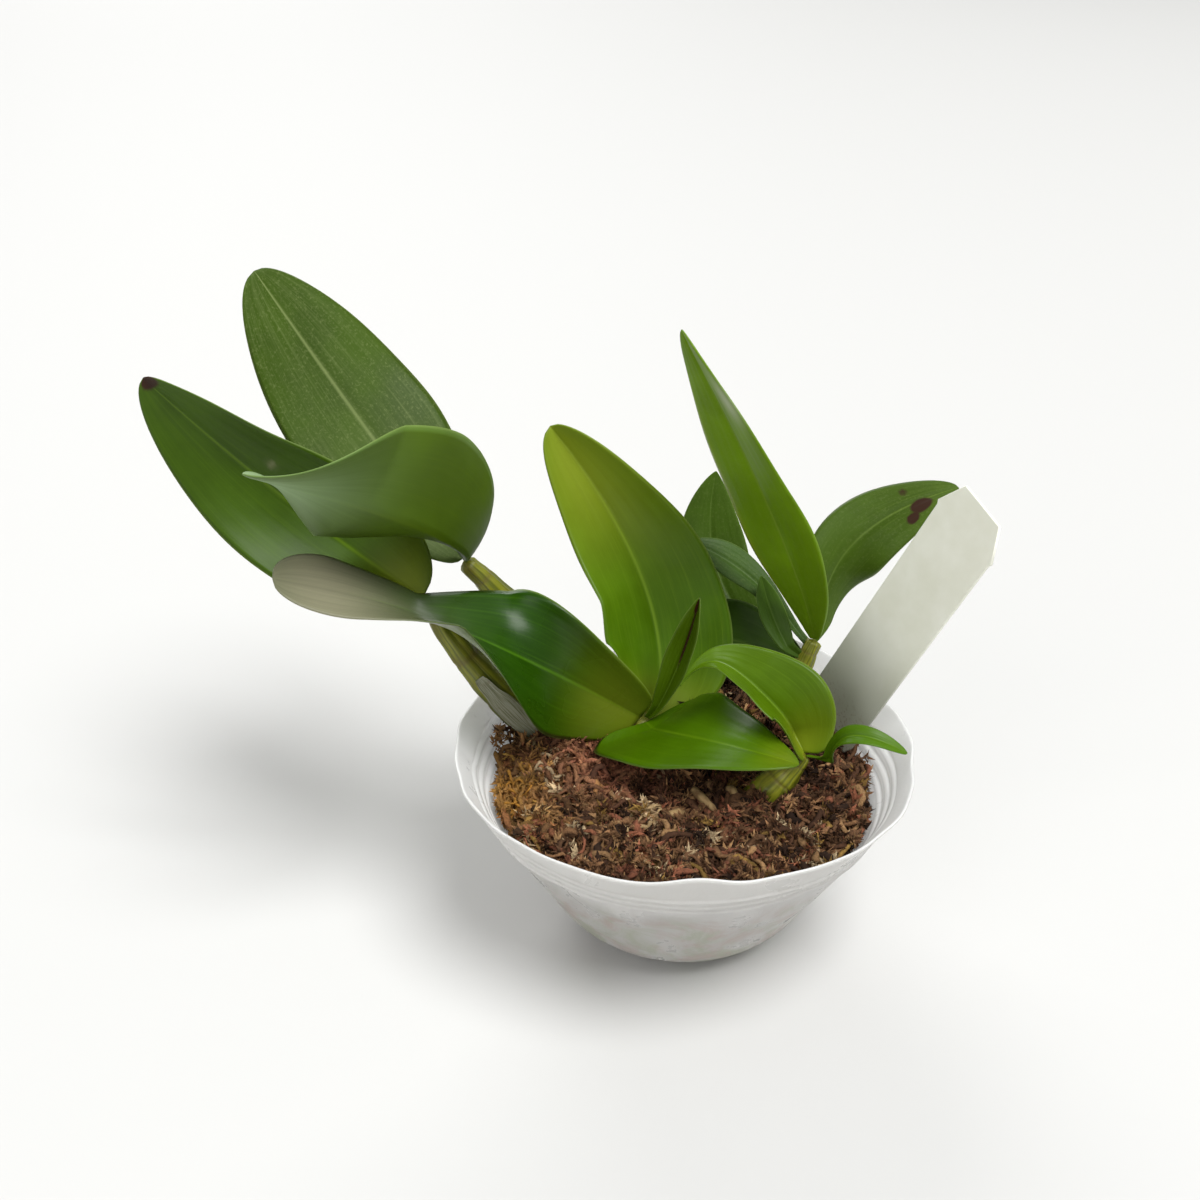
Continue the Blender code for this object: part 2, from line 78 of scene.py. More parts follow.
# Sizes of the label in millimetres
LABEL_WIDTH = 20.0
LABEL_LENGTH = 98.0
LABEL_THICKNESS = 0.8
LABEL_RIM = 0.12
LABEL_SHOULDER = 8.0
LABEL_CORNER = 3.5
LABEL_POINT = 22.0
LABEL_HEAD = (64.0, -4.0, 115.0)
LABEL_TURN = (80.5, 23.9, -62.6)

# Seat, least half width and relief of the blades in millimetres, but the sway of their edges
# as a share of the half width; how many waves each relief has; columns of faces on a side
SEAT_DEPTH = 1.2
LEAST_HALF_WIDTH = 0.12
SIDE_COLUMNS = 26
SWAY, SWAY_WAVES = 0.022, 2.6
RIB_WAVES = 4.5
GROOVE_WIDTH, GROOVE_DEPTH, KEEL_DEPTH = 0.7, 0.30, 0.35

# A stem runs from foot to top past its bow, with the radii of foot, belly and top.
Stem = namedtuple("Stem", "name foot bow top radii")
CANES = [
    Stem("cane_left_upper", (-15, 33, 25), (-33, 31.5, 61.5), (-54, 26, 87), (2.4, 4.6, 2.2)),
    Stem("cane_left_lower", (-23, 24, 25), (-49, 16, 54), (-64, 21, 79), (2.4, 4.4, 2.0)),
    Stem("cane_centre", (-8, 27, 27.5), (-8, 26, 35), (-8.8, 20.5, 44.0), (2.6, 3.2, 2.6)),
    Stem("cane_front", (15, -3, 27), (19, -3, 36), (30, 0, 47), (3.0, 5.2, 2.0)),
    Stem("cane_back", (22, 27, 26), (29, 31, 44), (36, 34, 60), (2.4, 3.4, 2.0)),
]
ROOTS = [
    Stem("root_left", (1, 6, 32), (1, -8, 46), (11, -12.5, 33), (1.0, 1.1, 0.9)),
    Stem("root_middle", (11, 2, 31), (11, -9, 50), (15, -9, 31), (1.0, 1.0, 0.9)),
    Stem("root_right", (2, -6, 31), (-2, -16, 46), (-9, -14, 31), (1.0, 1.1, 0.8)),
]

# A leaf's spine runs from foot to tip in millimetres, and faces are the ways its
# upper side looks at even places along it. The rest are its full width, the share
# of its length with that width, the powers of its outline below and above that place,
# how far each edge reaches back near the foot, the rise of each half at foot and tip
# in degrees, the further rise to the edge, and its width at the cane.
Leaf = namedtuple("Leaf", "name stem spine faces width widest blunt tip lobe fold cup foot")
LEAVES = [
    Leaf("leaf_left_high", "cane_left_upper", [(-55.5, 29, 87.5), (-78, 47, 110.5), (-103.4, 48, 153.6)],
         [(0.25, -0.85, 0.5), (0.4, -0.7, 0.55)], 37, 0.50, 0.64, 0.50, (0, 0), (10, -4), -5, 3.4),
    Leaf("leaf_left_far", "cane_left_lower", [(-65, 22.5, 79), (-94.5, 25.5, 99.5), (-124.8, 21, 136)],
         [(0.1, -0.7, 0.7), (-0.3, -0.95, 0.0)], 35.5, 0.42, 0.57, 0.52, (0, 0), (21, 10), 22, 3.4),
    Leaf("leaf_left_folded", "cane_left_upper",
         [(-52, 21.5, 89), (-53.0, -3.5, 110), (-93.8, -19.5, 129)],
         [(0.0, 1.0, 0.1), (0.0, 1.0, 0.1), (-0.3, 0.9, 0.4), (0.2, 0.3, 0.9)],
         46, 0.46, 0.80, 0.60, (0, 0), (45, -6), 24, 4.0),
    Leaf("leaf_front_left", "cane_centre",
         [(-15.2, 19.2, 48.8), (-52, 4, 80), (-70, 0.5, 90.5), (-92.3, -11.5, 101)],
         [(0.0, -1.0, 0.1), (-0.1, -0.5, 0.85), (0.4, 0.4, 0.85), (0.65, 0.15, 0.75), (0.55, -0.35, 0.75)],
         33, 0.33, 0.50, 0.40, (0, -7), (12, -2), 11, 2.2),
    Leaf("leaf_centre", "cane_centre", [(-5.5, 25.5, 44.5), (1, 46.5, 67.8), (-33, 51, 113)],
         [(0.3, -0.85, 0.4), (0.35, -0.85, 0.4), (-0.05, -1.0, 0.15)],
         39, 0.36, 0.55, 0.46, (-3, 0), (17, 18), 24, 4.0),
    Leaf("leaf_front", "cane_centre",
         [(-7.5, 17.0, 43.5), (-4, 6.5, 48.8), (6, -5, 55), (26.2, -14.4, 53.6)],
         [(0.05, -0.5, 0.85), (0.2, -0.17, 0.95)], 32.5, 0.30, 0.40, 0.60, (3, 5), (6, 4), 2, 3.6),
    Leaf("leaf_new", "cane_centre", [(-6.5, 18.7, 46.5), (1.5, 23.0, 60), (4.5, 22.5, 78.4)],
         [(-0.35, -0.85, 0.4), (-0.35, -0.85, 0.4)], 10, 0.56, 0.7, 0.7, (0, 0), (41, 41), 11, 2.2),
    Leaf("leaf_right_cupped", "cane_front",
         [(28.6, 4.6, 46.6), (24.2, 3.2, 61.2), (15.9, 7.9, 57.8), (9.1, 10.8, 78.4), (-0.6, 9.0, 61)],
         [(0, -0.6, 0.8), (0.1, -0.5, 0.85), (0.1, -0.4, 0.9), (-0.4, -0.2, 0.9), (-0.9, -0.3, 0.2)],
         27, 0.23, 1.05, 1.2, (-6, 0), (54, 10), 14, 2.0),
    Leaf("leaf_right_narrow", "cane_front", [(35.2, -4.6, 46.8), (33.5, -12.5, 67), (51.0, -15.0, 57.2)],
         [(-0.1, -0.45, 0.9), (0.1, -0.4, 0.9)], 5.6, 0.57, 0.5, 0.5, (0, 0), (18, 7), 5, 1.8),
    Leaf("leaf_right_tall", "cane_back",
         [(35.5, 32.5, 62.5), (28, 29.5, 91), (-1.3, 31, 144.3)],
         [(-0.55, -0.8, -0.25), (-0.7, -0.65, -0.35), (-0.8, -0.45, -0.4)],
         26, 0.55, 0.78, 0.62, (0, 0), (1, 15), -7, 3.0),
    Leaf("leaf_right_arched", "cane_back", [(39, 39, 56.5), (34, 45, 86.5), (72, 46, 98)],
         [(0.5, -0.45, 0.75), (0.25, -0.4, 0.9)], 19.5, 0.58, 0.6, 0.52, (0, 0), (8, 2), -8, 3.0),
    Leaf("leaf_back", "cane_back", [(31.5, 40, 51), (4.5, 63, 58.5), (11.5, 69.5, 93)],
         [(0.05, -0.85, 0.5), (0.05, -0.85, 0.5)], 19, 0.62, 0.75, 0.75, (0, 0), (14, 6), 8, 3.0),
    Leaf("leaf_back_folded", "cane_back", [(33.5, 35.5, 58.5), (21, 48.5, 75), (2.5, 46.5, 82.5)],
         [(0.05, -0.55, 0.8), (0.0, -0.55, 0.8)], 10, 0.66, 0.85, 0.85, (0, 0), (13, 6), 7, 2.4),
    Leaf("leaf_back_low", "cane_back", [(33.5, 32.5, 52.5), (15, 43.5, 57), (2, 46.5, 55)],
         [(0.0, -0.5, 0.85), (-0.15, -0.55, 0.8)], 22, 0.57, 0.6, 0.6, (0, 0), (13, 10), 14, 3.0),
    Leaf("leaf_back_small", "cane_back", [(29.5, 31.5, 57.5), (24, 39, 65.5), (21.8, 40.5, 75.5)],
         [(0.1, -0.9, 0.4), (0.05, -0.9, 0.4)], 7, 0.52, 0.7, 0.7, (0, 0), (15, 10), 12, 2.4),
]

# Colours of a blade in 8-bit steps: upper side, under side and veins; then its roughness,
# the colour of its pale marks of painted sheen, the depth of its ribs in millimetres and its share of frost.
Skin = namedtuple("Skin", "upper under vein rough worn ribs frost", defaults=((123, 121, 94), 0.05, 0.0))
# The tones were set leaf by leaf to how bright each leaf looks, so besides the leaves' own colours they hold
# some painted light and shade.
SKINS = {
    "leaf_left_high": Skin(
        (58, 80, 0), (66, 88, 14), (140, 154, 96), 0.54, worn=(130, 148, 90), ribs=0.03, frost=0.22),
    "leaf_left_far": Skin((56, 80, 0), (68, 88, 4), (92, 120, 20), 0.40),
    # The upper side of this leaf is paler and bluer than the others' as painted sheen.
    "leaf_left_folded": Skin(
        (92, 120, 54), (68, 90, 0), (84, 106, 14), 0.50, worn=(136, 160, 118), ribs=0.03),
    "leaf_front_left": Skin((36, 67, 0), (68, 90, 12), (78, 122, 24), 0.28, worn=(134, 131, 108)),
    "leaf_centre": Skin((70, 102, 2), (84, 114, 14), (118, 148, 40), 0.36),
    "leaf_front": Skin((68, 100, 2), (84, 116, 14), (98, 130, 24), 0.32),
    "leaf_new": Skin((62, 84, 3), (70, 94, 12), (108, 136, 40), 0.38, ribs=0.04),
    "leaf_right_cupped": Skin((76, 105, 2), (86, 116, 12), (114, 148, 36), 0.34),
    "leaf_right_narrow": Skin((70, 104, 4), (80, 110, 16), (116, 142, 40), 0.38, ribs=0.04),
    # The light upper side of this leaf is painted light shining through it.
    "leaf_right_tall": Skin(
        (104, 138, 18), (96, 126, 22), (128, 152, 60), 0.44, worn=(176, 184, 156), ribs=0.06, frost=0.1),
    "leaf_right_arched": Skin((63, 85, 16), (74, 96, 30), (104, 126, 54), 0.46, ribs=0.06, frost=0.1),
    "leaf_back": Skin((59, 82, 15), (70, 92, 28), (88, 110, 46), 0.48, frost=0.1),
    "leaf_back_folded": Skin((56, 80, 28), (66, 88, 34), (86, 108, 56), 0.48, ribs=0.04, frost=0.1),
    "leaf_back_low": Skin((54, 80, 14), (66, 92, 26), (86, 110, 40), 0.44),
    "leaf_back_small": Skin((60, 86, 22), (70, 94, 32), (90, 112, 46), 0.46, ribs=0.04),
}

# The marks on each blade: kind (brown, pale or yellow), the share along and the place
# across of its middle, its half lengths along and across, and its strength. Brown marks
# are real browning and pale marks painted sheen; yellow marks are real yellowing, except
# those at the tips of leaf_centre and leaf_front, which are painted highlights.
MARKS = {
    "leaf_left_far": [
        ("brown", 1.0, 0.2, 0.035, 0.9, 1.0), ("yellow", 0.05, 0.0, 0.12, 0.9, 0.5),
        ("pale", 0.62, 0.35, 0.012, 0.06, 0.8)],
    "leaf_front_left": [
        ("pale", 0.86, 0.0, 0.26, 3.0, 1.0), ("yellow", 0.0, 0.0, 0.10, 1.2, 0.5)],
    "leaf_new": [
        ("brown", 1.0, 0.0, 0.13, 0.5, 1.0), ("brown", 0.7, 0.0, 0.3, 0.12, 0.8)],
    "leaf_right_tall": [
        ("pale", 0.84, 0.7, 0.05, 0.3, 0.8), ("yellow", 0.4, -1.0, 0.5, 0.12, 0.7)],
    "leaf_right_arched": [
        ("brown", 0.86, 0.2, 0.045, 0.3, 0.95), ("brown", 0.81, 0.5, 0.03, 0.2, 0.85),
        ("brown", 0.82, -0.55, 0.02, 0.2, 0.5)],
    # The second yellow mark, at the tip, is a painted highlight.
    "leaf_centre": [
        ("yellow", 0.02, 0.0, 0.10, 1.0, 0.5), ("yellow", 0.92, 0.0, 0.28, 1.4, 0.6)],
    "leaf_left_folded": [("pale", 0.95, 0.3, 0.22, 1.0, 0.9)],
    "leaf_left_high": [("pale", 0.2, -0.6, 0.25, 0.9, 0.35)],
    # The yellow mark at the tip is a painted highlight.
    "leaf_front": [("yellow", 0.95, 0.0, 0.10, 1.0, 0.3)],
    "leaf_right_cupped": [("yellow", 0.02, 0.0, 0.14, 1.0, 0.6)],
}


def linear(*steps):
    """A screen colour in 8-bit steps as scene-linear light, by the power 2.2."""
    return tuple((step / 255) ** 2.2 for step in steps)


def unit(vectors):
    """Each vector divided by its length."""
    vectors = np.asarray(vectors, float)
    return vectors / np.maximum(np.linalg.norm(vectors, axis=-1, keepdims=True), 1e-9)


def bezier(points, share):
    """Point and direction on a Bezier curve: blend neighbours by share till two are left."""
    share = np.asarray(share, float)[..., None]
    levels = [np.zeros(share.shape[:-1] + (3,)) + np.array(point, float) for point in points]
    while len(levels) > 2:
        levels = [a * (1 - share) + b * share for a, b in zip(levels, levels[1:])]
    return levels[0] * (1 - share) + levels[1] * share, levels[1] - levels[0]


def ripples(x, y, pitch, seed, waves=14):
    """Smooth uneven relief, mostly between -1 and 1: sines of about one pitch in mm that run
    in many directions, each with its own phase, summed and divided by the root of their number."""
    draw = np.random.default_rng(seed)
    turns = draw.uniform(0, 2 * math.pi, waves)
    phases = draw.uniform(0, 2 * math.pi, waves)
    speeds = 2 * math.pi / (pitch * draw.uniform(0.7, 1.5, waves))
    total = np.zeros(np.shape(x))
    for turn, phase, speed in zip(turns, phases, speeds):
        total = total + np.sin((x * math.cos(turn) + y * math.sin(turn)) * speed + phase)
    return total / math.sqrt(waves)


def linked(name, data):
    """A new object with the data, in the scene."""
    made = bpy.data.objects.new(name, data)
    bpy.context.scene.collection.objects.link(made)
    return made


def evaluated(thing):
    """A new mesh of an object as its curve settings or modifiers make it."""
    return bpy.data.meshes.new_from_object(thing.evaluated_get(bpy.context.evaluated_depsgraph_get()))


def points_of(mesh):
    """The places of a mesh's points, a row for each."""
    flat = np.empty(len(mesh.vertices) * 3)
    mesh.vertices.foreach_get("co", flat)
    return flat.reshape(-1, 3)


def set_uvs(mesh, layer, uvs):
    """Give each corner of the mesh's faces the UV place of its point."""
    corners = np.empty(len(mesh.loops), int)
    mesh.loops.foreach_get("vertex_index", corners)
    layer.data.foreach_set("uv", np.reshape(uvs, (-1, 2)).astype(np.float32)[corners].ravel())


def piece_from(name, points, faces, material, node=None, uvs=None, tint=None):
    """A mesh object riding on the root body, standing for the CAD node if one is named."""
    mesh = bpy.data.meshes.new(name)
    mesh.from_pydata((np.reshape(points, (-1, 3)) * MM).tolist(), [], faces)
    mesh.materials.append(material)
    if uvs is not None:
        set_uvs(mesh, mesh.uv_layers.new(name="UVMap"), uvs)
    if tint is not None:
        layer = mesh.attributes.new("tint", "FLOAT_COLOR", "POINT")
        layer.data.foreach_set("color", tint.astype(np.float32).ravel())
    mesh.polygons.foreach_set("use_smooth", np.ones(len(mesh.polygons), bool))
    mesh.update()
    made = linked(name, mesh)
    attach(made, "root")
    if node:
        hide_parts(node)
    return made


def sleeve_faces(rows, columns, first=0):
    """Quads round a closed sleeve of rows by columns points, with a flat cap at each end."""
    row = np.arange(rows - 1)[:, None] * columns
    column = np.arange(columns)[None, :]
    after = (column + 1) % columns
    quads = np.stack([row + column, row + after, row + columns + after, row + columns + column], -1)
    faces = (quads.reshape(-1, 4) + first).tolist()
    faces.append((first + np.arange(columns)[::-1]).tolist())
    faces.append((first + (rows - 1) * columns + np.arange(columns)).tolist())
    return faces


def facing_out(made):
    """Turn a closed mesh right side out if its signed volume is negative."""
    mesh = made.data
    mesh.calc_loop_triangles()
    corners = np.empty(len(mesh.loop_triangles) * 3, int)
    mesh.loop_triangles.foreach_get("vertices", corners)
    a, b, c = points_of(mesh)[corners].reshape(-1, 3, 3).transpose(1, 0, 2)
    if (np.cross(a, b) * c).sum() < 0:
        mesh.flip_normals()
    return made


# Leaves

def cane_path(stem, rows):
    """Centre points, directions and radii of a stem: a Bezier of foot, bow and top, with
    a straight taper plus a sine swelling."""
    share = np.linspace(0, 1, rows)
    centre, along = bezier([stem.foot, stem.bow, stem.top], share)
    foot, belly, top = stem.radii
    radius = foot * (1 - share) + top * share
    radius = radius + (belly - (foot + top) / 2) * np.sin(math.pi * share ** 0.9) ** 1.3
    return centre, unit(along), radius


def seat_shift(leaf):
    """How far the foot of a blade moves to reach by SEAT_DEPTH into the side of its cane."""
    stem = [stem for stem in CANES if stem.name == leaf.stem][0]
    centre, _, radius = cane_path(stem, 40)
    foot = np.array(leaf.spine[0], float)
    near = np.linalg.norm(centre - foot, axis=1).argmin()
    outward = foot - centre[near]
    distance = np.linalg.norm(outward)
    reach = min(distance, max(radius[near] - SEAT_DEPTH, 0))
    return centre[near] + outward / distance * reach - foot


def blade_surface(leaf, share, across):
    """Middle surface of a blade. The spine is a Bezier; the half width is a power of a
    sine; each half leaves the spine at the fold angle and bends on by the cup angle."""
    centre, along = bezier(leaf.spine, share)
    along = unit(along)
    faces = unit(leaf.faces)
    places = np.linspace(0, 1, len(faces))
    face = np.stack([np.interp(share, places, faces[:, axis]) for axis in range(3)], axis=-1)
    face = unit(face - (face * along).sum(-1, keepdims=True) * along)
    side = np.cross(along, face)
    power = math.log(0.5) / math.log(leaf.widest)
    edge = np.where(share < leaf.widest, leaf.blunt, leaf.tip)
    swell = np.clip(np.sin(math.pi * share ** power), 0, 1) ** edge
    half = leaf.width / 2 * swell + leaf.foot / 2 * (1 - share) ** 3
    half = np.maximum(half, LEAST_HALF_WIDTH)
    reach = np.abs(across)
    fold = np.radians(leaf.fold[0] * (1 - share) + leaf.fold[1] * share)
    cup = math.radians(leaf.cup)
    out = (np.sin(fold + cup * reach) - np.sin(fold)) / cup
    rise = (np.cos(fold) - np.cos(fold + cup * reach)) / cup
    points = centre + (half * np.sign(across) * out)[..., None] * side + (half * rise)[..., None] * face
    low = np.clip(share / 0.3, 0, 1)
    back = np.where(across < 0, leaf.lobe[0], leaf.lobe[1]) * 4 * low * (1 - low) * reach ** 2
    near = np.clip(1 - share / 0.09, 0, 1) ** 2
    return points - back[..., None] * along + near[..., None] * seat_shift(leaf), half


def blade_tint(leaf, share, across):
    """Red, green and blue hold the brown marks, the pale marks of painted sheen and the
    yellow marks, a few of them painted highlights: each the largest of the ovals of its
    kind, which fade as exp(-d ^ 4) if brown and as exp(-d ^ 2) if not.
    The fourth channel is left at zero."""
    kinds = ("brown", "pale", "yellow")
    tint = np.zeros(share.shape + (4,))
    for kind, along, aside, long, wide, strength in MARKS.get(leaf.name, []):
        away = ((share - along) / long) ** 2 + ((across - aside) / wide) ** 2
        spot = strength * np.exp(-away ** (2 if kind == "brown" else 1))
        layer = tint[..., kinds.index(kind)]
        layer[:] = np.maximum(layer, spot)
    return tint


def blade_piece(leaf, material, rows, thickness):
    """The blade as a closed sleeve: out over the upper side from edge to edge and back
    along the under side, with the wall closing to nothing at the edges, a groove along
    the midrib above, a keel below, and shallow ribs that fade at both ends."""
    even = np.linspace(0, 1, rows)
    share = 0.6 * ((1 - np.cos(math.pi * even)) / 2) + 0.4 * even
    grid_share, across = np.meshgrid(share, np.linspace(-1, 1, SIDE_COLUMNS + 1), indexing="ij")
    middle, half = blade_surface(leaf, grid_share, across)
    normal = unit(np.cross(np.gradient(middle, axis=1), np.gradient(middle, axis=0)))
    faces = unit(np.array(leaf.faces, float).mean(0))
    if (normal.reshape(-1, 3) @ faces).mean() < 0:
        normal = -normal
    phase = 1.7 * LEAVES.index(leaf)
    wave = np.sin(2 * math.pi * SWAY_WAVES * grid_share + phase + 0.9 * np.sign(across))
    sway = SWAY * half * np.abs(across) ** 2.5
    middle = middle + (sway * wave)[..., None] * normal
    wall = thickness / 2 * (1 - np.abs(across) ** 8) ** 0.6
    wall = wall * (0.35 + 0.65 * np.clip(half / 4, 0, 1))
    ends = np.clip(np.sin(math.pi * grid_share), 0, 1) ** 0.4
    ribs = SKINS[leaf.name].ribs * ends * np.cos(2 * math.pi * RIB_WAVES * across)
    groove = np.exp(-(across * half / GROOVE_WIDTH) ** 2) * ends
    top = middle + (wall + ribs - GROOVE_DEPTH * groove)[..., None] * normal
    under = middle - (wall - ribs + KEEL_DEPTH * groove)[..., None] * normal
    points = np.concatenate([top, under[:, -2:0:-1]], axis=1)
    columns = points.shape[1]
    place = np.concatenate([across, across[:, -2:0:-1]], axis=1)
    along = np.repeat(share[:, None], columns, axis=1)
    tint = blade_tint(leaf, along, place)
    tint[:, :SIDE_COLUMNS + 1, 3] = 1.0
    uvs = np.stack([(place + 1) / 2, along], -1)
    return facing_out(piece_from(
        leaf.name + "_blade", points, sleeve_faces(rows, columns), material, leaf.name, uvs, tint))


# Stems

def ring_offsets(along, angle):
    """Directions at the angles round a path: cosine times one square to it and kept as level
    as it can be, plus sine times one square to both."""
    level = unit(np.cross(along, np.array([0.31, 0.93, 0.2])))
    square = np.cross(level, along)
    return np.cos(angle)[..., None] * level[:, None] + np.sin(angle)[..., None] * square[:, None]


def cane_piece(stem, material, rows=90, columns=36, ribs=7, rib_depth=0.16, joints=5):
    """A tube along the stem's path: radius times a shallow cosine of the angle for the
    ribs, pinched at each joint, with both ends drawn in to a round."""
    centre, along, radius = cane_path(stem, rows)
    angle = np.linspace(0, 2 * math.pi, columns, endpoint=False)[None, :]
    share = np.linspace(0, 1, rows)[:, None]
    pinch = np.exp(-(((share * joints) % 1.0 - 0.5) / 0.05) ** 2)
    ends = np.sqrt(np.clip(np.minimum(share, 1 - share) / 0.02, 0.02, 1))
    ring = radius[:, None] * (1 - 0.05 * pinch) * ends + rib_depth * np.cos(ribs * angle + 3 * share) * ends
    ring = ring + 0.08 * ripples(angle * 2, share * 40, 5, len(stem.name))
    points = centre[:, None] + ring[..., None] * ring_offsets(along, angle)
    uvs = np.stack(np.broadcast_arrays(angle / (2 * math.pi), share), -1)
    tint = np.zeros((rows, columns, 4))
    tint[..., 0] = pinch
    tint[..., 1] = np.clip(1 - share / 0.35, 0, 1)
    return facing_out(piece_from(
        stem.name + "_skin", points, sleeve_faces(rows, columns), material, stem.name, uvs, tint))


def sheath_piece(stem, material, start=0.25, end=0.62, turn=4.2, spread=0.6, thickness=0.2, seed=31):
    """A dry papery sheath: part of a tube just outside the cane from share start to end,
    as wide as spread radians about turn, with waved edges."""
    rows, columns, steps = 60, 30, 400
    centre, along, radius = cane_path(stem, steps)
    share = np.linspace(0, 1, rows)[:, None]
    at = ((start + (end - start) * share[:, 0]) * (steps - 1)).astype(int)
    across = np.linspace(-1, 1, columns)[None, :]
    width = np.sin(math.pi * (0.12 + 0.8 * share)) ** 0.6 * (1 + 0.12 * ripples(share * 30, 0, 11, seed))
    lift = 0.36 + 0.35 * np.abs(across) ** 3 * (1 + 0.5 * np.sin(9 * share + seed))
    offset = ring_offsets(along[at], turn + spread * width * across)
    sides = [(radius[at][:, None] + lift - depth)[..., None] * offset for depth in (0.0, thickness)]
    points = centre[at][:, None] + np.concatenate([sides[0], sides[1][:, ::-1]], axis=1)
    uvs = np.stack(np.broadcast_arrays(np.linspace(0, 1, 2 * columns)[None, :], share), -1)
    faces = sleeve_faces(rows, 2 * columns)
    return facing_out(piece_from("sheath", points, faces, material, uvs=uvs))


# Pot

def pot_profile(points_per_arc=26):
    """Outer side from lip to floor and inner side back up, as (radius, height): a straight
    wall with three raised rings that meets a round corner and a flat floor."""
    rise = POT_HEIGHT - CORNER_RADIUS
    run = RIM_RADIUS - FLAT_RADIUS
    wall_angle = math.atan2(rise, run) - math.acos(CORNER_RADIUS / math.hypot(run, rise))
    top = np.array([RIM_RADIUS, POT_HEIGHT])
    angles = np.linspace(wall_angle, -math.pi / 2, points_per_arc)
    ring = np.stack([np.cos(angles), np.sin(angles)], -1)
    centre = np.array([FLAT_RADIUS, CORNER_RADIUS])
    first = centre + CORNER_RADIUS * ring[0]
    down = (first - top) / np.linalg.norm(first - top)
    out = np.array([-down[1], down[0]])
    length = np.linalg.norm(first - top)
    depth = np.concatenate([np.linspace(0.5, 16, 60), np.linspace(16.8, length, 16)[:-1]])
    bump = sum(RIDGE_HEIGHT * np.exp(-((depth - place) / RIDGE_WIDTH) ** 2) for place in RIDGE_DEPTHS)
    wall = top + depth[:, None] * down
    outer = np.concatenate([wall + bump[:, None] * out, centre + CORNER_RADIUS * ring])
    inner = np.concatenate([wall + (bump - POT_WALL)[:, None] * out,
                            centre + (CORNER_RADIUS - POT_WALL) * ring])
    turn = np.linspace(0.15, 0.85, 5) * math.pi
    lip = top + 0.5 * down - POT_WALL / 2 * out
    edge = lip + POT_WALL / 2 * (np.cos(turn)[:, None] * out - np.sin(turn)[:, None] * down)
    return np.concatenate([outer[::-1], edge, inner])


# Middle in degrees and half width in radians of the lip's bulge, dent and flap
LIP_SPOTS = ((55, 0.45), (112, 0.35), (-90, 0.16))


def lip_wave(angle):
    """Rise and outward push of the soft lip at an angle round the pot, in millimetres: its
    three spots, each exp(-d ^ 2), and fixed waves."""
    bulge, dent, flap = (np.exp(-((angle - math.radians(place)) / width) ** 2) for place, width in LIP_SPOTS)
    rise = 3.5 * bulge - 3.5 * dent + 2.2 * flap + 0.35 * np.sin(5 * angle + 1.0)
    push = 2.0 * bulge - 0.8 * dent - 0.8 * flap + 0.6 * np.cos(2 * angle) + 0.3 * np.sin(7 * angle)
    return rise, push


def bore_drains(made):
    """Cut a circle of drain holes through the pot's floor."""
    turn = np.linspace(0, 2 * math.pi, 32, endpoint=False)
    points, faces = [], []
    for number in range(DRAIN_COUNT):
        bearing = 2 * math.pi * number / DRAIN_COUNT
        x = DRAIN_CIRCLE * math.cos(bearing) + DRAIN_RADIUS * np.cos(turn)
        y = DRAIN_CIRCLE * math.sin(bearing) + DRAIN_RADIUS * np.sin(turn)
        points += [np.stack([x, y, np.full_like(x, level)], -1) for level in DRAIN_LEVELS]
        faces += sleeve_faces(2, len(turn), 2 * len(turn) * number)
    mesh = bpy.data.meshes.new("drain_cutter")
    mesh.from_pydata((np.concatenate(points) * MM).tolist(), [], faces)
    cutter = facing_out(linked("drain_cutter", mesh))
    cut = made.modifiers.new("drain holes", "BOOLEAN")
    cut.operation = "DIFFERENCE"
    cut.solver = "EXACT"
    cut.object = cutter
    bored = evaluated(made)
    made.modifiers.clear()
    made.data = bored
    bpy.data.objects.remove(cutter, do_unlink=True)


def pot_piece(material):
    """The profile turned round Z, its upper wall moved by the lip's wave and by finer
    ripples, and bored with the drain holes."""
    profile = pot_profile()
    columns = 300
    angle = np.linspace(-math.pi, math.pi, columns, endpoint=False)
    radius = np.repeat(profile[:, :1], columns, axis=1)
    height = np.repeat(profile[:, 1:], columns, axis=1)
    share = np.clip((height - LIP_WAVE_START) / (POT_HEIGHT - LIP_WAVE_START), 0, 1) ** 1.5
    rise, push = lip_wave(angle)
    fine = 0.22 * np.sin(11 * angle + 0.7) + 0.16 * np.sin(23 * angle + 2.0)
    soft = 0.25 * ripples(angle * 30, height, 16, 5) * np.clip((height - 14) / 12, 0, 1)
    radius = radius + share * (push + fine) + soft
    height = height + share * (rise + 0.5 * fine)
    points = np.stack([radius * np.cos(angle), radius * np.sin(angle), height], -1)
    tint = np.ones(points.shape[:2] + (4,))
    # Red is 1 on the inner side and 0 on the outer, for painted light inside and painted shade outside.
    tint[:len(profile) // 2, :, 0] = 0.0
    # Green is a line of painted shadow 1.1 mm below each ring.
    depth = (POT_HEIGHT - profile[:, 1]) / math.cos(WALL_LEAN)
    tint[..., 1] = sum(np.exp(-((depth - place - 1.1) / 0.4) ** 2) for place in RIDGE_DEPTHS)[:, None]
    faces = sleeve_faces(len(profile), columns)
    made = piece_from("pot_shell", points, faces, material, "pot", tint=tint)
    bore_drains(facing_out(made))
    return made


# Moss

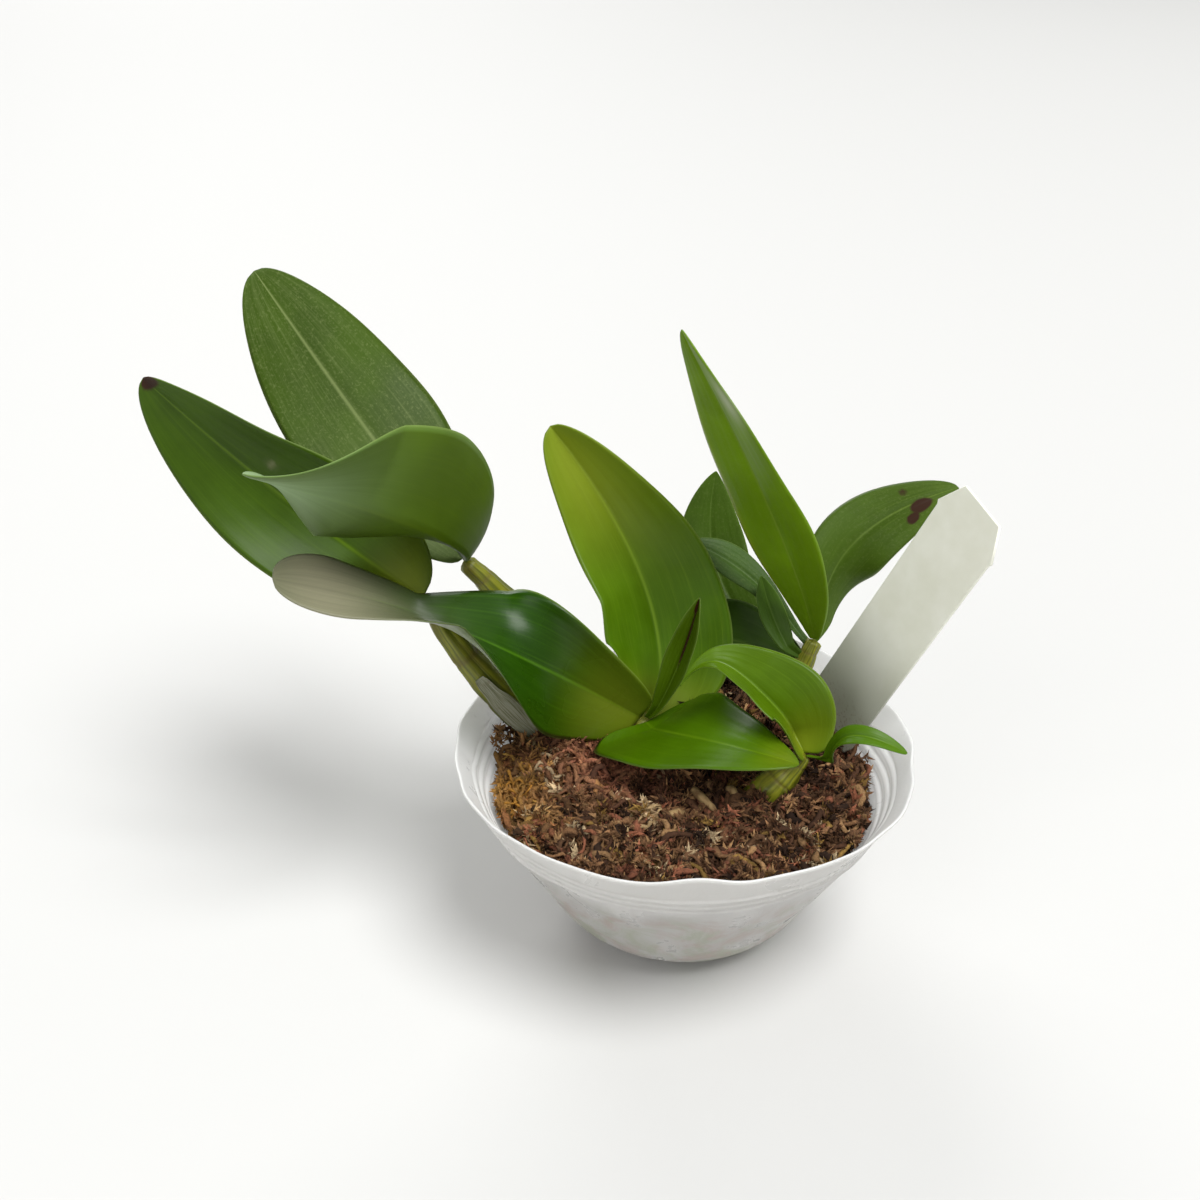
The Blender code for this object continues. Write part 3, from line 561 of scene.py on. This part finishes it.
def moss_height(x, y):
    """Height of the moss: a smooth ramp to the back, a hollow round the middle cane, two
    crossed sines for tufts and two pitches of ripples for lumps and crumbs."""
    ramp = np.clip((y + 4) / 28, 0, 1)
    lean = 6.5 * ramp * ramp * (3 - 2 * ramp) - 0.16 * np.clip(y - 26, 0, 20)
    hollow = 4.5 * np.exp(-(((x + 6) / 15) ** 2 + ((y - 17) / 11) ** 2))
    tufts = 1.1 * np.sin(0.31 * x + 0.9) * np.cos(0.27 * y - 0.4) + 0.8 * np.sin(0.55 * x - 0.38 * y + 2.0)
    return MOSS_LEVEL + lean - hollow + tufts + 0.9 * ripples(x, y, 11, 21) + 0.5 * ripples(x, y, 4.5, 22)


def wall_radius(height):
    """Inside radius of the pot's straight wall at a height."""
    return RIM_RADIUS - POT_WALL / math.cos(WALL_LEAN) - (POT_HEIGHT - height) * math.tan(WALL_LEAN)


def moss_bed(material):
    """The body of the moss: rings of the height formula over a disc that stops short of
    the wall, then a skirt that follows the wall down to the floor."""
    columns = 260
    angle = np.linspace(0, 2 * math.pi, columns, endpoint=False)
    radius = BED_REACH * np.linspace(0.01, 1, 90)[:, None]
    x, y = radius * np.cos(angle), radius * np.sin(angle)
    height = moss_height(x, y) + 0.5 * np.abs(ripples(x, y, 1.9, 23)) - 0.6
    fit = np.minimum((wall_radius(height) - 1.2) / radius, 1)
    top = np.stack([x * fit, y * fit, height], -1)
    rows = []
    for level in np.linspace(0.93, 0.0, 16):
        z = MOSS_FLOOR + (height[-1] - MOSS_FLOOR) * level
        below = np.clip(25 - z, 0, 24)
        bowl = np.where(z > 14, wall_radius(z) - 1.3, 12 + np.sqrt(np.maximum(23.3 ** 2 - below ** 2, 0)))
        bowl = bowl + 0.5 * ripples(angle * 30, z, 5, 24)
        rows.append(np.stack([bowl * np.cos(angle), bowl * np.sin(angle), z], -1))
    points = np.concatenate([top, np.array(rows)], axis=0)
    tint = np.ones(points.shape[:2] + (4,))
    # The top of the bed has the strands' tones at 0.55 of their light: painted shade under the strands.
    tint[:len(top), :, :3] = 0.55 * moss_tones(np.random.default_rng(28), top[..., 0], top[..., 1])
    tint[len(top):, :, :3] = linear(120, 92, 70)
    faces = sleeve_faces(len(points), columns)
    return facing_out(piece_from("moss_bed", points, faces, material, "moss", tint=tint))


# Tones of the strands in 8-bit steps, with the share of strands that have each; the points of
# a strand along and round it; the leaflets on a stem; the strands of a tuft and their spread
MOSS_TONES = {
    (116, 84, 60): 0.24, (144, 106, 74): 0.20, (152, 96, 72): 0.13, (84, 58, 42): 0.15,
    (176, 136, 94): 0.10, (158, 124, 66): 0.05, (54, 38, 28): 0.10, (208, 182, 142): 0.03,
}
STRAND_ROWS, STRAND_SIDES = 11, 5
LEAFLETS = 60
TUFT_STRANDS, TUFT_SPREAD = 22, 2.0
# Middle of each pale tuft in millimetres, and its tone
MOSS_TUFTS = [
    (-34, 4, (176, 152, 118)), (-10.8, -17.2, (190, 160, 116)), (-13.5, 38.5, (168, 140, 104)),
    (-41, -5, (170, 120, 50)),
]


def moss_tones(draw, x, y):
    """A tone in linear light for each strand: one of the list, redder at the back left,
    more orange along the left wall and darker in the patches of a slow ripple."""
    picked = draw.choice(len(MOSS_TONES), x.shape, p=list(MOSS_TONES.values()))
    tone = np.array([linear(*colour) for colour in MOSS_TONES])[picked]
    red = np.exp(-(((x + 16) / 14) ** 2 + ((y - 8) / 9) ** 2))[..., None]
    orange = np.exp(-(((x + 41) / 8) ** 2 + ((y + 6) / 12) ** 2))[..., None]
    dark = np.clip(0.5 + 0.7 * ripples(x, y, 13, 27), 0, 1)[..., None]
    tone = tone * (1 - 0.45 * dark)
    tone = tone * (1 - 0.6 * red) + 0.6 * red * np.array(linear(206, 134, 104))
    return tone * (1 - 0.55 * orange) + 0.55 * orange * np.array(linear(200, 150, 76))


def strand_paths(draw, count, length, lift, rows, centre=None):
    """Paths of curled strands: each turns by its own amount while it crosses the surface
    and rises in the middle by a half sine."""
    if centre is None:
        reach = STRAND_REACH * np.sqrt(draw.uniform(0, 1, count))
        turn = draw.uniform(0, 2 * math.pi, count)
        x, y = reach * np.cos(turn), reach * np.sin(turn)
    else:
        x = centre[0] + draw.normal(0, TUFT_SPREAD, count)
        y = centre[1] + draw.normal(0, TUFT_SPREAD * 0.7, count)
    share = np.linspace(0, 1, rows)[None, :]
    bend = draw.uniform(-3.4, 3.4, (count, 1))
    kink = draw.uniform(-1.0, 1.0, (count, 1))
    angle = draw.uniform(0, 2 * math.pi, (count, 1)) + bend * share + kink * np.sin(5.5 * share)
    step = draw.uniform(*length, (count, 1)) / (rows - 1)
    path_x = x[:, None] + np.cumsum(np.cos(angle), axis=1) * step
    path_y = y[:, None] + np.cumsum(np.sin(angle), axis=1) * step
    ground = moss_height(path_x, path_y)
    fit = np.minimum((wall_radius(ground) - 1.8) / np.maximum(np.hypot(path_x, path_y), 1), 1)
    rise = draw.uniform(*lift, (count, 1))
    path_z = ground - 0.5 + rise * np.sin(math.pi * share) ** 0.8 + draw.normal(0, 0.25, (count, 1))
    return np.stack([path_x * fit, path_y * fit, path_z], -1), angle


def strand_piece(name, material, count, length, width, lift, seed, centre=None, tone=None):
    """Curled strands of moss in one mesh: rings round each path whose radius swells by a
    half sine and is knobbly from ring to ring, with a tone darker at both ends, where the
    strand meets the bed, as painted shade."""
    draw = np.random.default_rng(seed)
    rows, sides = STRAND_ROWS, STRAND_SIDES
    path, angle = strand_paths(draw, count, length, lift, rows, centre)
    share = np.linspace(0, 1, rows)[None, :]
    swell = 0.35 + 0.75 * np.sin(math.pi * (0.06 + 0.88 * share))
    radius = draw.uniform(*width, (count, 1)) * swell
    radius = (radius * (1 + 0.32 * draw.uniform(-1, 1, (count, rows))))[..., None, None]
    ring = (np.linspace(0, 2 * math.pi, sides, endpoint=False) + 0.4)[:, None]
    across = np.stack([-np.sin(angle), np.cos(angle), 0 * angle], -1)
    wide = radius * np.cos(ring) * across[:, :, None]
    tall = 0.75 * radius * np.sin(ring) * np.array([0.0, 0.0, 1.0])
    points = path[:, :, None] + wide + tall
    faces = []
    for number in range(count):
        faces += sleeve_faces(rows, sides, number * rows * sides)
    if tone is None:
        tone = moss_tones(draw, path[:, 0, 0], path[:, 0, 1])
    else:
        tone = np.array(linear(*tone)) * draw.uniform(0.7, 1.2, (count, 1))
    # Darker at both ends of each strand, where it meets the bed: painted shade.
    shade = 0.5 + 0.55 * np.sin(math.pi * share)
    tint = np.ones((count, rows, sides, 4))
    tint[..., :3] = tone[:, None, None, :] * shade[:, :, None, None]
    return facing_out(piece_from(name, points, faces, material, tint=tint))


def leaflet_piece(name, material, stems, seed):
    """Feathery leaflets in one mesh: on each strand many three-sided spikes that point
    along it and outward, from a small base triangle to a tip. One order of corners serves
    them all, although they are of both hands, so most of them are inside out."""
    draw = np.random.default_rng(seed)
    path, _ = strand_paths(draw, stems, (7, 16), (0.8, 3.4), LEAFLETS)
    each = (stems, LEAFLETS, 1)
    along = unit(np.gradient(path, axis=1))
    spin = draw.uniform(0, 2 * math.pi, each)
    level = unit(np.cross(along, np.array([0.1, 0.2, 1.0])))
    outward = np.cos(spin) * level + np.sin(spin) * np.cross(level, along)
    size = draw.uniform(0.9, 2.6, each)
    root = path + 0.25 * outward
    tip = root + size * unit(along * draw.uniform(0.2, 1.0, each) + outward)
    flat = unit(np.cross(outward, along))
    half = size * draw.uniform(0.16, 0.34, each)
    corners = [root + half * flat, root - half * flat, root + 0.45 * half * along + 0.2 * outward, tip]
    points = np.stack(corners, axis=2).reshape(-1, 3)
    away = np.hypot(points[:, 0], points[:, 1])
    points[:, :2] *= np.minimum((wall_radius(points[:, 2]) - 0.5) / away, 1)[:, None]
    one = np.array([(0, 1, 2), (1, 0, 3), (2, 1, 3), (0, 2, 3)])
    faces = (np.arange(stems * LEAFLETS)[:, None, None] * 4 + one).reshape(-1, 3).tolist()
    tone = moss_tones(draw, path[:, 0, 0], path[:, 0, 1])[:, None, :]
    tint = np.ones((stems, LEAFLETS, 4, 4))
    tint[..., :3] = (tone * draw.uniform(0.75, 1.25, each))[:, :, None, :]
    # Each leaflet's tip is 1.5 times lighter than its base: painted light.
    tint[..., 3, :3] *= 1.5
    made = piece_from(name, points, faces, material, tint=tint)
    made.data.polygons.foreach_set("use_smooth", np.zeros(len(faces), bool))
    return made


# Label

def label_piece(material):
    """The label's outline, one side and its mirror image, filled and given its thickness,
    with rounded rims."""
    half = LABEL_WIDTH / 2
    side = [
        (half - LABEL_CORNER, 0), (half + 0.5, -LABEL_SHOULDER), (half, -LABEL_SHOULDER - 1),
        (half, -LABEL_LENGTH + LABEL_POINT), (2.0, -LABEL_LENGTH),
    ]
    outline = [(-side[0][0], 0), *side, *((-x, y) for x, y in side[:0:-1])]
    curve = bpy.data.curves.new("label_sheet", "CURVE")
    curve.dimensions = "2D"
    curve.fill_mode = "BOTH"
    curve.extrude = (LABEL_THICKNESS / 2 - LABEL_RIM) * MM
    curve.bevel_depth = LABEL_RIM * MM
    curve.bevel_resolution = 2
    curve.offset = -LABEL_RIM * MM
    spline = curve.splines.new("POLY")
    spline.points.add(len(outline) - 1)
    for node, (x, y) in zip(spline.points, outline):
        node.co = (x * MM, y * MM, 0, 1)
    spline.use_cyclic_u = True
    flat = linked("label_sheet", curve)
    bpy.context.view_layer.update()
    mesh = evaluated(flat)
    bpy.data.objects.remove(flat, do_unlink=True)
    spots = points_of(mesh)
    layer = mesh.uv_layers[0] if mesh.uv_layers else mesh.uv_layers.new(name="UVMap")
    place = [spots[:, 0] / (LABEL_WIDTH * MM) + 0.5, 1 + spots[:, 1] / (LABEL_LENGTH * MM)]
    set_uvs(mesh, layer, np.stack(place, -1))
    turn = Euler([math.radians(angle) for angle in LABEL_TURN], "XYZ").to_matrix()
    spots = spots @ np.array(turn).T + np.array(LABEL_HEAD) * MM
    mesh.vertices.foreach_set("co", spots.ravel())
    mesh.materials.clear()
    mesh.materials.append(material)
    mesh.update()
    made = linked("label_plate", mesh)
    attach(made, "root")
    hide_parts("label")
    return made


# Materials

class Finish:
    """A Principled material with short calls that add nodes and join them. A tuple is a
    screen colour in 8-bit steps, and a list is scene-linear light."""

    def __init__(self, name, rough, alpha=1.0, shine=0.5):
        self.material = bpy.data.materials.new(name)
        self.material.use_nodes = True
        self.tree = self.material.node_tree
        self.shader = self.tree.nodes["Principled BSDF"]
        self.preset(self.shader, ("Roughness", "Alpha", "Specular IOR Level"), (rough, alpha, shine))

    def preset(self, node, names, values):
        for name, value in zip(names, values):
            node.inputs[name].default_value = value

    def node(self, kind, **settings):
        made = self.tree.nodes.new("ShaderNode" + kind)
        for key, value in settings.items():
            setattr(made, key, value)
        return made

    def feed(self, socket, value):
        if isinstance(value, bpy.types.NodeSocket):
            self.tree.links.new(value, socket)
        elif isinstance(value, tuple):
            socket.default_value = (*linear(*value), 1.0)
        elif isinstance(value, list):
            socket.default_value = (*value, 1.0)
        else:
            socket.default_value = value

    def where(self):
        """Object coordinates."""
        return self.node("TexCoord").outputs["Object"]

    def flat(self):
        """The piece's own UV map."""
        return self.node("UVMap", uv_map="UVMap").outputs["UV"]

    def tint(self):
        """The outputs of the tint attribute."""
        return self.node("Attribute", attribute_name="tint", attribute_type="GEOMETRY").outputs

    def parts(self, value, kind="XYZ"):
        """The three numbers of a vector or a colour."""
        made = self.node("Separate" + kind)
        self.feed(made.inputs[0], value)
        return made.outputs

    def math(self, operation, a, b=0.0):
        made = self.node("Math", operation=operation)
        self.feed(made.inputs[0], a)
        self.feed(made.inputs[1], b)
        return made.outputs[0]

    def band(self, value, low, high, to_low=0.0, to_high=1.0):
        """Smooth step of value from low to high."""
        made = self.node("MapRange", interpolation_type="SMOOTHSTEP")
        self.feed(made.inputs["Value"], value)
        self.preset(made, ("From Min", "From Max", "To Min", "To Max"), (low, high, to_low, to_high))
        return made.outputs["Result"]

    def mix(self, share, a, b):
        made = self.node("Mix", data_type="RGBA")
        self.feed(made.inputs["Factor"], share)
        self.feed(made.inputs[6], a)
        self.feed(made.inputs[7], b)
        return made.outputs[2]

    def shades(self, share, steps, low, high):
        """A screen colour, from low times its light to high times its light."""
        return self.mix(share, *([value * times for value in linear(*steps)] for times in (low, high)))

    def scaled(self, vector, scale):
        made = self.node("Mapping")
        self.feed(made.inputs["Vector"], vector)
        made.inputs["Scale"].default_value = scale
        return made.outputs["Vector"]

    def noise(self, vector, scale, detail=4.0, rough=0.55, distortion=0.0):
        made = self.node("TexNoise")
        self.feed(made.inputs["Vector"], vector)
        self.preset(made, ("Scale", "Detail", "Roughness", "Distortion"), (scale, detail, rough, distortion))
        return made.outputs["Fac"]

    def done(self, colour, height, strength, distance, rough=None):
        """The material with its colour, its roughness if given, and a bump of that height."""
        bump = self.node("Bump")
        self.feed(bump.inputs["Height"], height)
        self.preset(bump, ("Strength", "Distance"), (strength, distance))
        links = {"Base Color": colour, "Roughness": rough, "Normal": bump.outputs["Normal"]}
        for name, value in links.items():
            if value is not None:
                self.tree.links.new(value, self.shader.inputs[name])
        return self.material


def blade_finish(leaf):
    """Leaf skin: soft tone patches, faint lengthwise veins, a pale midrib and rim, frosty
    specks, and the brown, pale and yellow marks that the tint attribute holds; the pale
    marks are painted sheen and the yellow ones at two tips painted highlights."""
    skin = SKINS[leaf.name]
    made = Finish(leaf.name + " skin", skin.rough, shine=0.2)
    where, flat, tint = made.where(), made.flat(), made.tint()
    across = made.math("MULTIPLY", made.parts(flat)[0], 2.0)
    reach = made.math("ABSOLUTE", made.math("SUBTRACT", across, 1.0))
    brown, pale, yellow = made.parts(tint["Color"], "Color")
    streak = made.noise(made.scaled(flat, (34.0, 1.6, 1.0)), 1.0)
    fine = made.noise(made.scaled(flat, (110.0, 5.0, 1.0)), 1.0, 3.0)
    blotch = made.noise(where, 55.0, 3.0)
    speck = made.noise(where, 1500.0, 3.0, 0.7)
    patch = made.band(blotch, 0.3, 0.7)
    low = made.shades(patch, skin.under, 0.88, 1.1)
    tone = made.mix(tint["Alpha"], low, made.shades(patch, skin.upper, 0.84, 1.14))
    for value, start, end, to_start, to_end, steps in (
        (streak, 0.5, 0.75, 0.0, 0.16, skin.vein), (fine, 0.45, 0.75, 0.0, 0.12, skin.vein),
        (reach, 0.0, 0.045, 0.5, 0.0, skin.vein), (reach, 0.965, 1.0, 0.0, 0.45, (140, 164, 84)),
        (speck, 0.5, 0.72, 0.0, skin.frost, (146, 158, 100)),
    ):
        tone = made.mix(made.band(value, start, end, to_start, to_end), tone, steps)
    # Pale marks: painted sheen.
    tone = made.mix(pale, tone, made.shades(streak, skin.worn, 0.78, 1.26))
    # Yellow marks: real yellowing, but painted highlights at the tips of leaf_centre and leaf_front.
    tone = made.mix(yellow, tone, (140, 150, 40))
    rusty = made.math("ADD", brown, made.math("MULTIPLY", speck, 0.3))
    tone = made.mix(made.band(rusty, 0.35, 0.75), tone, (52, 32, 20))
    gloss = made.band(blotch, 0.2, 0.8, skin.rough - 0.05, skin.rough + 0.06)
    gloss = made.math("ADD", gloss, made.math("MULTIPLY", pale, 0.1))
    height = made.math("ADD", made.math("MULTIPLY", streak, 0.5), made.math("MULTIPLY", speck, 0.3))
    return made.done(tone, height, 0.25, 0.0002, gloss)


def cane_finish():
    """Yellow-green cane skin with lengthwise streaks, brown joints and a duller foot."""
    made = Finish("cane skin", 0.42)
    joint, foot, _ = made.parts(made.tint()["Color"], "Color")
    streak = made.noise(made.scaled(made.flat(), (26.0, 3.0, 1.0)), 1.0, 5.0)
    blotch = made.noise(made.where(), 160.0)
    tone = made.mix(made.band(streak, 0.35, 0.65), (84, 90, 12), (130, 132, 32))
    tone = made.mix(made.band(blotch, 0.52, 0.72, 0.0, 0.6), tone, (104, 90, 36))
    tone = made.mix(made.math("MULTIPLY", foot, 0.6), tone, (128, 120, 52))
    tone = made.mix(made.math("MULTIPLY", joint, 0.55), tone, (96, 82, 40))
    return made.done(tone, streak, 0.5, 0.0004, made.band(blotch, 0.2, 0.8, 0.34, 0.58))


def root_finish():
    """Dry tan root skin, mottled brown."""
    made = Finish("root skin", 0.8)
    blotch = made.noise(made.where(), 420.0, 5.0)
    tone = made.mix(made.band(blotch, 0.3, 0.7), (112, 84, 52), (176, 146, 100))
    return made.done(tone, blotch, 0.6, 0.0004)


def sheath_finish():
    """Thin dry sheath: silvery grey with brown lengthwise fibres."""
    made = Finish("papery sheath", 0.55, alpha=0.85)
    fibre = made.noise(made.scaled(made.flat(), (60.0, 3.0, 1.0)), 1.0, 5.0)
    patch = made.noise(made.where(), 200.0)
    tone = made.mix(made.band(fibre, 0.35, 0.65), (120, 122, 92), (184, 184, 164))
    tone = made.mix(made.band(patch, 0.55, 0.72, 0.0, 0.4), tone, (104, 84, 50))
    return made.done(tone, fibre, 0.4, 0.0002)


def pot_finish():
    """Soft milky-clear plastic: white inside as painted light and greyer outside as painted
    shade, with faint cloudy patches low on the wall, and a grey line of painted shadow under each ring."""
    made = Finish("milky plastic", 0.3, alpha=0.86)
    where = made.where()
    # groove holds the painted shadow line under each ring.
    inside, groove, _ = made.parts(made.tint()["Color"], "Color")
    low = made.band(made.parts(where)[2], 0.028, 0.038, 1.0, 0.0)
    cloud = made.noise(where, 75.0, 6.0, 0.65, 0.6)
    stain = made.mix(made.band(made.noise(where, 130.0), 0.42, 0.58), (176, 156, 146), (164, 168, 144))
    dull = made.math("MULTIPLY", low, made.band(cloud, 0.4, 0.62, 0.1, 0.8))
    # White on the inner side is painted light, grey on the outer side painted shade.
    tone = made.mix(inside, made.mix(dull, (200, 198, 195), stain), (252, 252, 251))
    # A grey line of painted shadow under each ring.
    tone = made.mix(made.math("MULTIPLY", groove, 0.45), tone, (150, 150, 150))
    made.preset(made.shader, ("Subsurface Weight", "Subsurface Radius", "Subsurface Scale"),
                (0.8, (1.0, 1.0, 1.0), 0.005))
    return made.done(tone, cloud, 0.3, 0.0006, made.band(cloud, 0.3, 0.7, 0.24, 0.42))


def moss_finish(name, strength):
    """Moss: the tint attribute's tones, broken up by fine fibres and by dark gaps of painted shade."""
    made = Finish(name, 0.9, shine=0.25)
    fibre = made.noise(made.where(), 1500.0, 5.0, 0.7)
    # The near-black gaps between fibres are painted shade.
    tone = made.mix(made.band(fibre, 0.32, 0.6, 0.5, 0.0), made.tint()["Color"], (34, 22, 14))
    return made.done(tone, fibre, strength, 0.0006)


def label_finish():
    """Off-white satin plastic, whitest at its head and greyer down towards its foot as painted shade, with
    brown specks of dirt at the foot.
    """
    made = Finish("label plastic", 0.38)
    where = made.where()
    rise = made.parts(made.flat())[1]
    smear = made.noise(where, 70.0, 5.0)
    speck = made.noise(where, 1100.0, 3.0)
    body = made.mix(made.band(smear, 0.3, 0.7), (240, 240, 224), (252, 252, 240))
    # Greyer towards the foot: painted shade.
    tone = made.mix(made.band(rise, 0.3, 0.62, 0.8, 0.0), body, (150, 154, 138))
    dirt = made.math("MULTIPLY", made.band(rise, 0.22, 0.36, 1.0, 0.0), made.band(speck, 0.52, 0.7))
    tone = made.mix(made.math("MULTIPLY", dirt, 0.7), tone, (110, 84, 58))
    return made.done(tone, smear, 0.12, 0.0004, made.band(smear, 0.3, 0.7, 0.32, 0.46))


# Controls that a user would change

class OrchidPlant(bpy.types.PropertyGroup):
    blade_thickness: bpy.props.FloatProperty(
        name="Blade thickness", description="Thickness of a leaf blade", default=0.00075, unit="LENGTH")
    blade_rows: bpy.props.IntProperty(
        name="Blade rows", description="Rows of faces along a blade", default=84, min=20, max=300)


class OrchidMoss(bpy.types.PropertyGroup):
    strand_count: bpy.props.IntProperty(
        name="Strands", description="Number of long strands on the moss", default=1500, min=100, max=1900)
    crumb_count: bpy.props.IntProperty(
        name="Crumbs", description="Number of short curls on the moss", default=1450, min=100, max=1800)
    feather_count: bpy.props.IntProperty(
        name="Feathers", description="Number of feathery branches in a layer", default=650, min=50, max=800)


class OrchidStage(bpy.types.PropertyGroup):
    floor_colour: bpy.props.FloatVectorProperty(
        name="Floor colour", description="Colour of the floor", subtype="COLOR", default=(0.62, 0.62, 0.61))
    key_power: bpy.props.FloatProperty(
        name="Main light", description="Power of the large soft light", default=370.0, unit="POWER")


class ORCHID_OT_leaves(bpy.types.Operator):
    """Build the fifteen leaf blades"""
    bl_idname = "orchid.leaves"
    bl_label = "Leaves"

    def execute(self, context):
        sizes = context.scene.orchid_plant
        for leaf in LEAVES:
            blade_piece(leaf, blade_finish(leaf), rows=sizes.blade_rows,
                        thickness=sizes.blade_thickness / MM)
        return {"FINISHED"}


class ORCHID_OT_canes(bpy.types.Operator):
    """Build the canes, a papery sheath on the lower left cane, and the roots"""
    bl_idname = "orchid.canes"
    bl_label = "Canes and roots"

    def execute(self, context):
        skin = cane_finish()
        for stem in CANES:
            cane_piece(stem, skin)
        skin = root_finish()
        for stem in ROOTS:
            cane_piece(stem, skin, rows=50, columns=18, ribs=3, rib_depth=0.06, joints=1)
        sheath_piece(CANES[1], sheath_finish())
        return {"FINISHED"}


class ORCHID_OT_moss(bpy.types.Operator):
    """Build the bed of moss and its strands"""
    bl_idname = "orchid.moss"
    bl_label = "Moss"

    def execute(self, context):
        sizes = context.scene.orchid_moss
        moss_bed(moss_finish("moss bed", 1.0))
        fibre = moss_finish("moss strands", 0.8)
        strand_piece("moss_strands", fibre, sizes.strand_count, (6, 16), (0.40, 0.95), (0.8, 3.4), 41)
        strand_piece("moss_crumbs", fibre, sizes.crumb_count, (2, 6), (0.25, 0.7), (0.4, 1.8), 42)
        leaflet_piece("moss_leaflets", fibre, sizes.feather_count, 43)
        leaflet_piece("moss_leaflets_deep", fibre, sizes.feather_count, 44)
        for number, (x, y, tone) in enumerate(MOSS_TUFTS):
            strand_piece(f"moss_tuft_{number}", fibre, TUFT_STRANDS, (5, 11), (0.3, 0.6), (1.6, 3.8),
                         50 + number, (x, y), tone)
        return {"FINISHED"}


class ORCHID_OT_pot(bpy.types.Operator):
    """Build the soft pot"""
    bl_idname = "orchid.pot"
    bl_label = "Pot"

    def execute(self, context):
        pot_piece(pot_finish())
        return {"FINISHED"}


class ORCHID_OT_label(bpy.types.Operator):
    """Build the blank plant label"""
    bl_idname = "orchid.label"
    bl_label = "Label"

    def execute(self, context):
        label_piece(label_finish())
        return {"FINISHED"}


# Half side of the floor in metres; each light's name, place and size in metres and share of the
# main light's power; and the camera's place in millimetres, degrees below level and lens
FLOOR_REACH = 9
LIGHTS = [
    ("main light", (1.9, -2.0, 5.3), 3.4, 1.0),
    ("back light", (-1.5, 5.1, 3.3), 3.6, 0.42),
    ("front light", (-3.0, -3.6, 3.0), 3.6, 0.16),
]
LIT_SPOT = (0, 0, 0.06)
CAMERA_PLACE = (-20.3, -286.4, 239.5)
CAMERA_DIP = 27.63
CAMERA_LENS = 42.0


class ORCHID_OT_stage(bpy.types.Operator):
    """Build the floor, the lights and the camera"""
    bl_idname = "orchid.stage"
    bl_label = "Stage"

    def execute(self, context):
        scene = context.scene
        sizes = scene.orchid_stage
        mesh = bpy.data.meshes.new("floor")
        sides = [(-1, -1), (1, -1), (1, 1), (-1, 1)]
        mesh.from_pydata([(x * FLOOR_REACH, y * FLOOR_REACH, 0) for x, y in sides], [], [(0, 1, 2, 3)])
        floor = linked("floor", mesh)
        pale = Finish("floor", 0.7)
        pale.shader.inputs["Base Color"].default_value = (*sizes.floor_colour, 1.0)
        mesh.materials.append(pale.material)

        world = bpy.data.worlds.new("studio")
        world.use_nodes = True
        sky = world.node_tree.nodes["Background"].inputs
        sky["Color"].default_value = (1.0, 1.0, 0.98, 1.0)
        sky["Strength"].default_value = 0.42
        scene.world = world
        scene.view_settings.view_transform = "Standard"

        for name, place, size, power in LIGHTS:
            lamp = bpy.data.lights.new(name, "AREA")
            lamp.shape = "DISK"
            lamp.size = size
            lamp.energy = sizes.key_power * power
            thing = linked(name, lamp)
            thing.location = place
            thing.rotation_euler = (Vector(LIT_SPOT) - Vector(place)).to_track_quat("-Z", "Y").to_euler()

        camera = bpy.data.cameras.new("camera")
        camera.lens = CAMERA_LENS
        camera.sensor_width = 36.0
        camera.clip_start = 0.01
        viewer = linked("camera", camera)
        viewer.location = Vector(CAMERA_PLACE) * MM
        viewer.rotation_euler = (math.radians(90 - CAMERA_DIP), 0, 0)
        scene.camera = viewer
        return {"FINISHED"}


class ORCHID_PT_panel(bpy.types.Panel):
    """Lists the pieces and their sizes"""
    bl_label = "Potted orchid"
    bl_space_type = "VIEW_3D"
    bl_region_type = "UI"
    bl_category = "Orchid"

    def draw(self, context):
        layout = self.layout
        for group in GROUPS:
            values = getattr(context.scene, group)
            for key in values.bl_rna.properties.keys():
                if key not in ("rna_type", "name"):
                    layout.prop(values, key)
        for operator in OPERATORS:
            layout.operator(operator.bl_idname)


GROUPS = {"orchid_plant": OrchidPlant, "orchid_moss": OrchidMoss, "orchid_stage": OrchidStage}
OPERATORS = [
    ORCHID_OT_leaves, ORCHID_OT_canes, ORCHID_OT_moss, ORCHID_OT_pot, ORCHID_OT_label, ORCHID_OT_stage,
]


def register():
    for made in [*GROUPS.values(), *OPERATORS, ORCHID_PT_panel]:
        bpy.utils.register_class(made)
    for name, group in GROUPS.items():
        setattr(bpy.types.Scene, name, bpy.props.PointerProperty(type=group))


def unregister():
    for name in GROUPS:
        delattr(bpy.types.Scene, name)
    for made in [ORCHID_PT_panel, *OPERATORS[::-1], *GROUPS.values()]:
        bpy.utils.unregister_class(made)


def main():
    register()
    bpy.ops.orchid.leaves()
    bpy.ops.orchid.canes()
    bpy.ops.orchid.moss()
    bpy.ops.orchid.pot()
    bpy.ops.orchid.label()
    bpy.ops.orchid.stage()


if __name__ == "__main__":
    main()
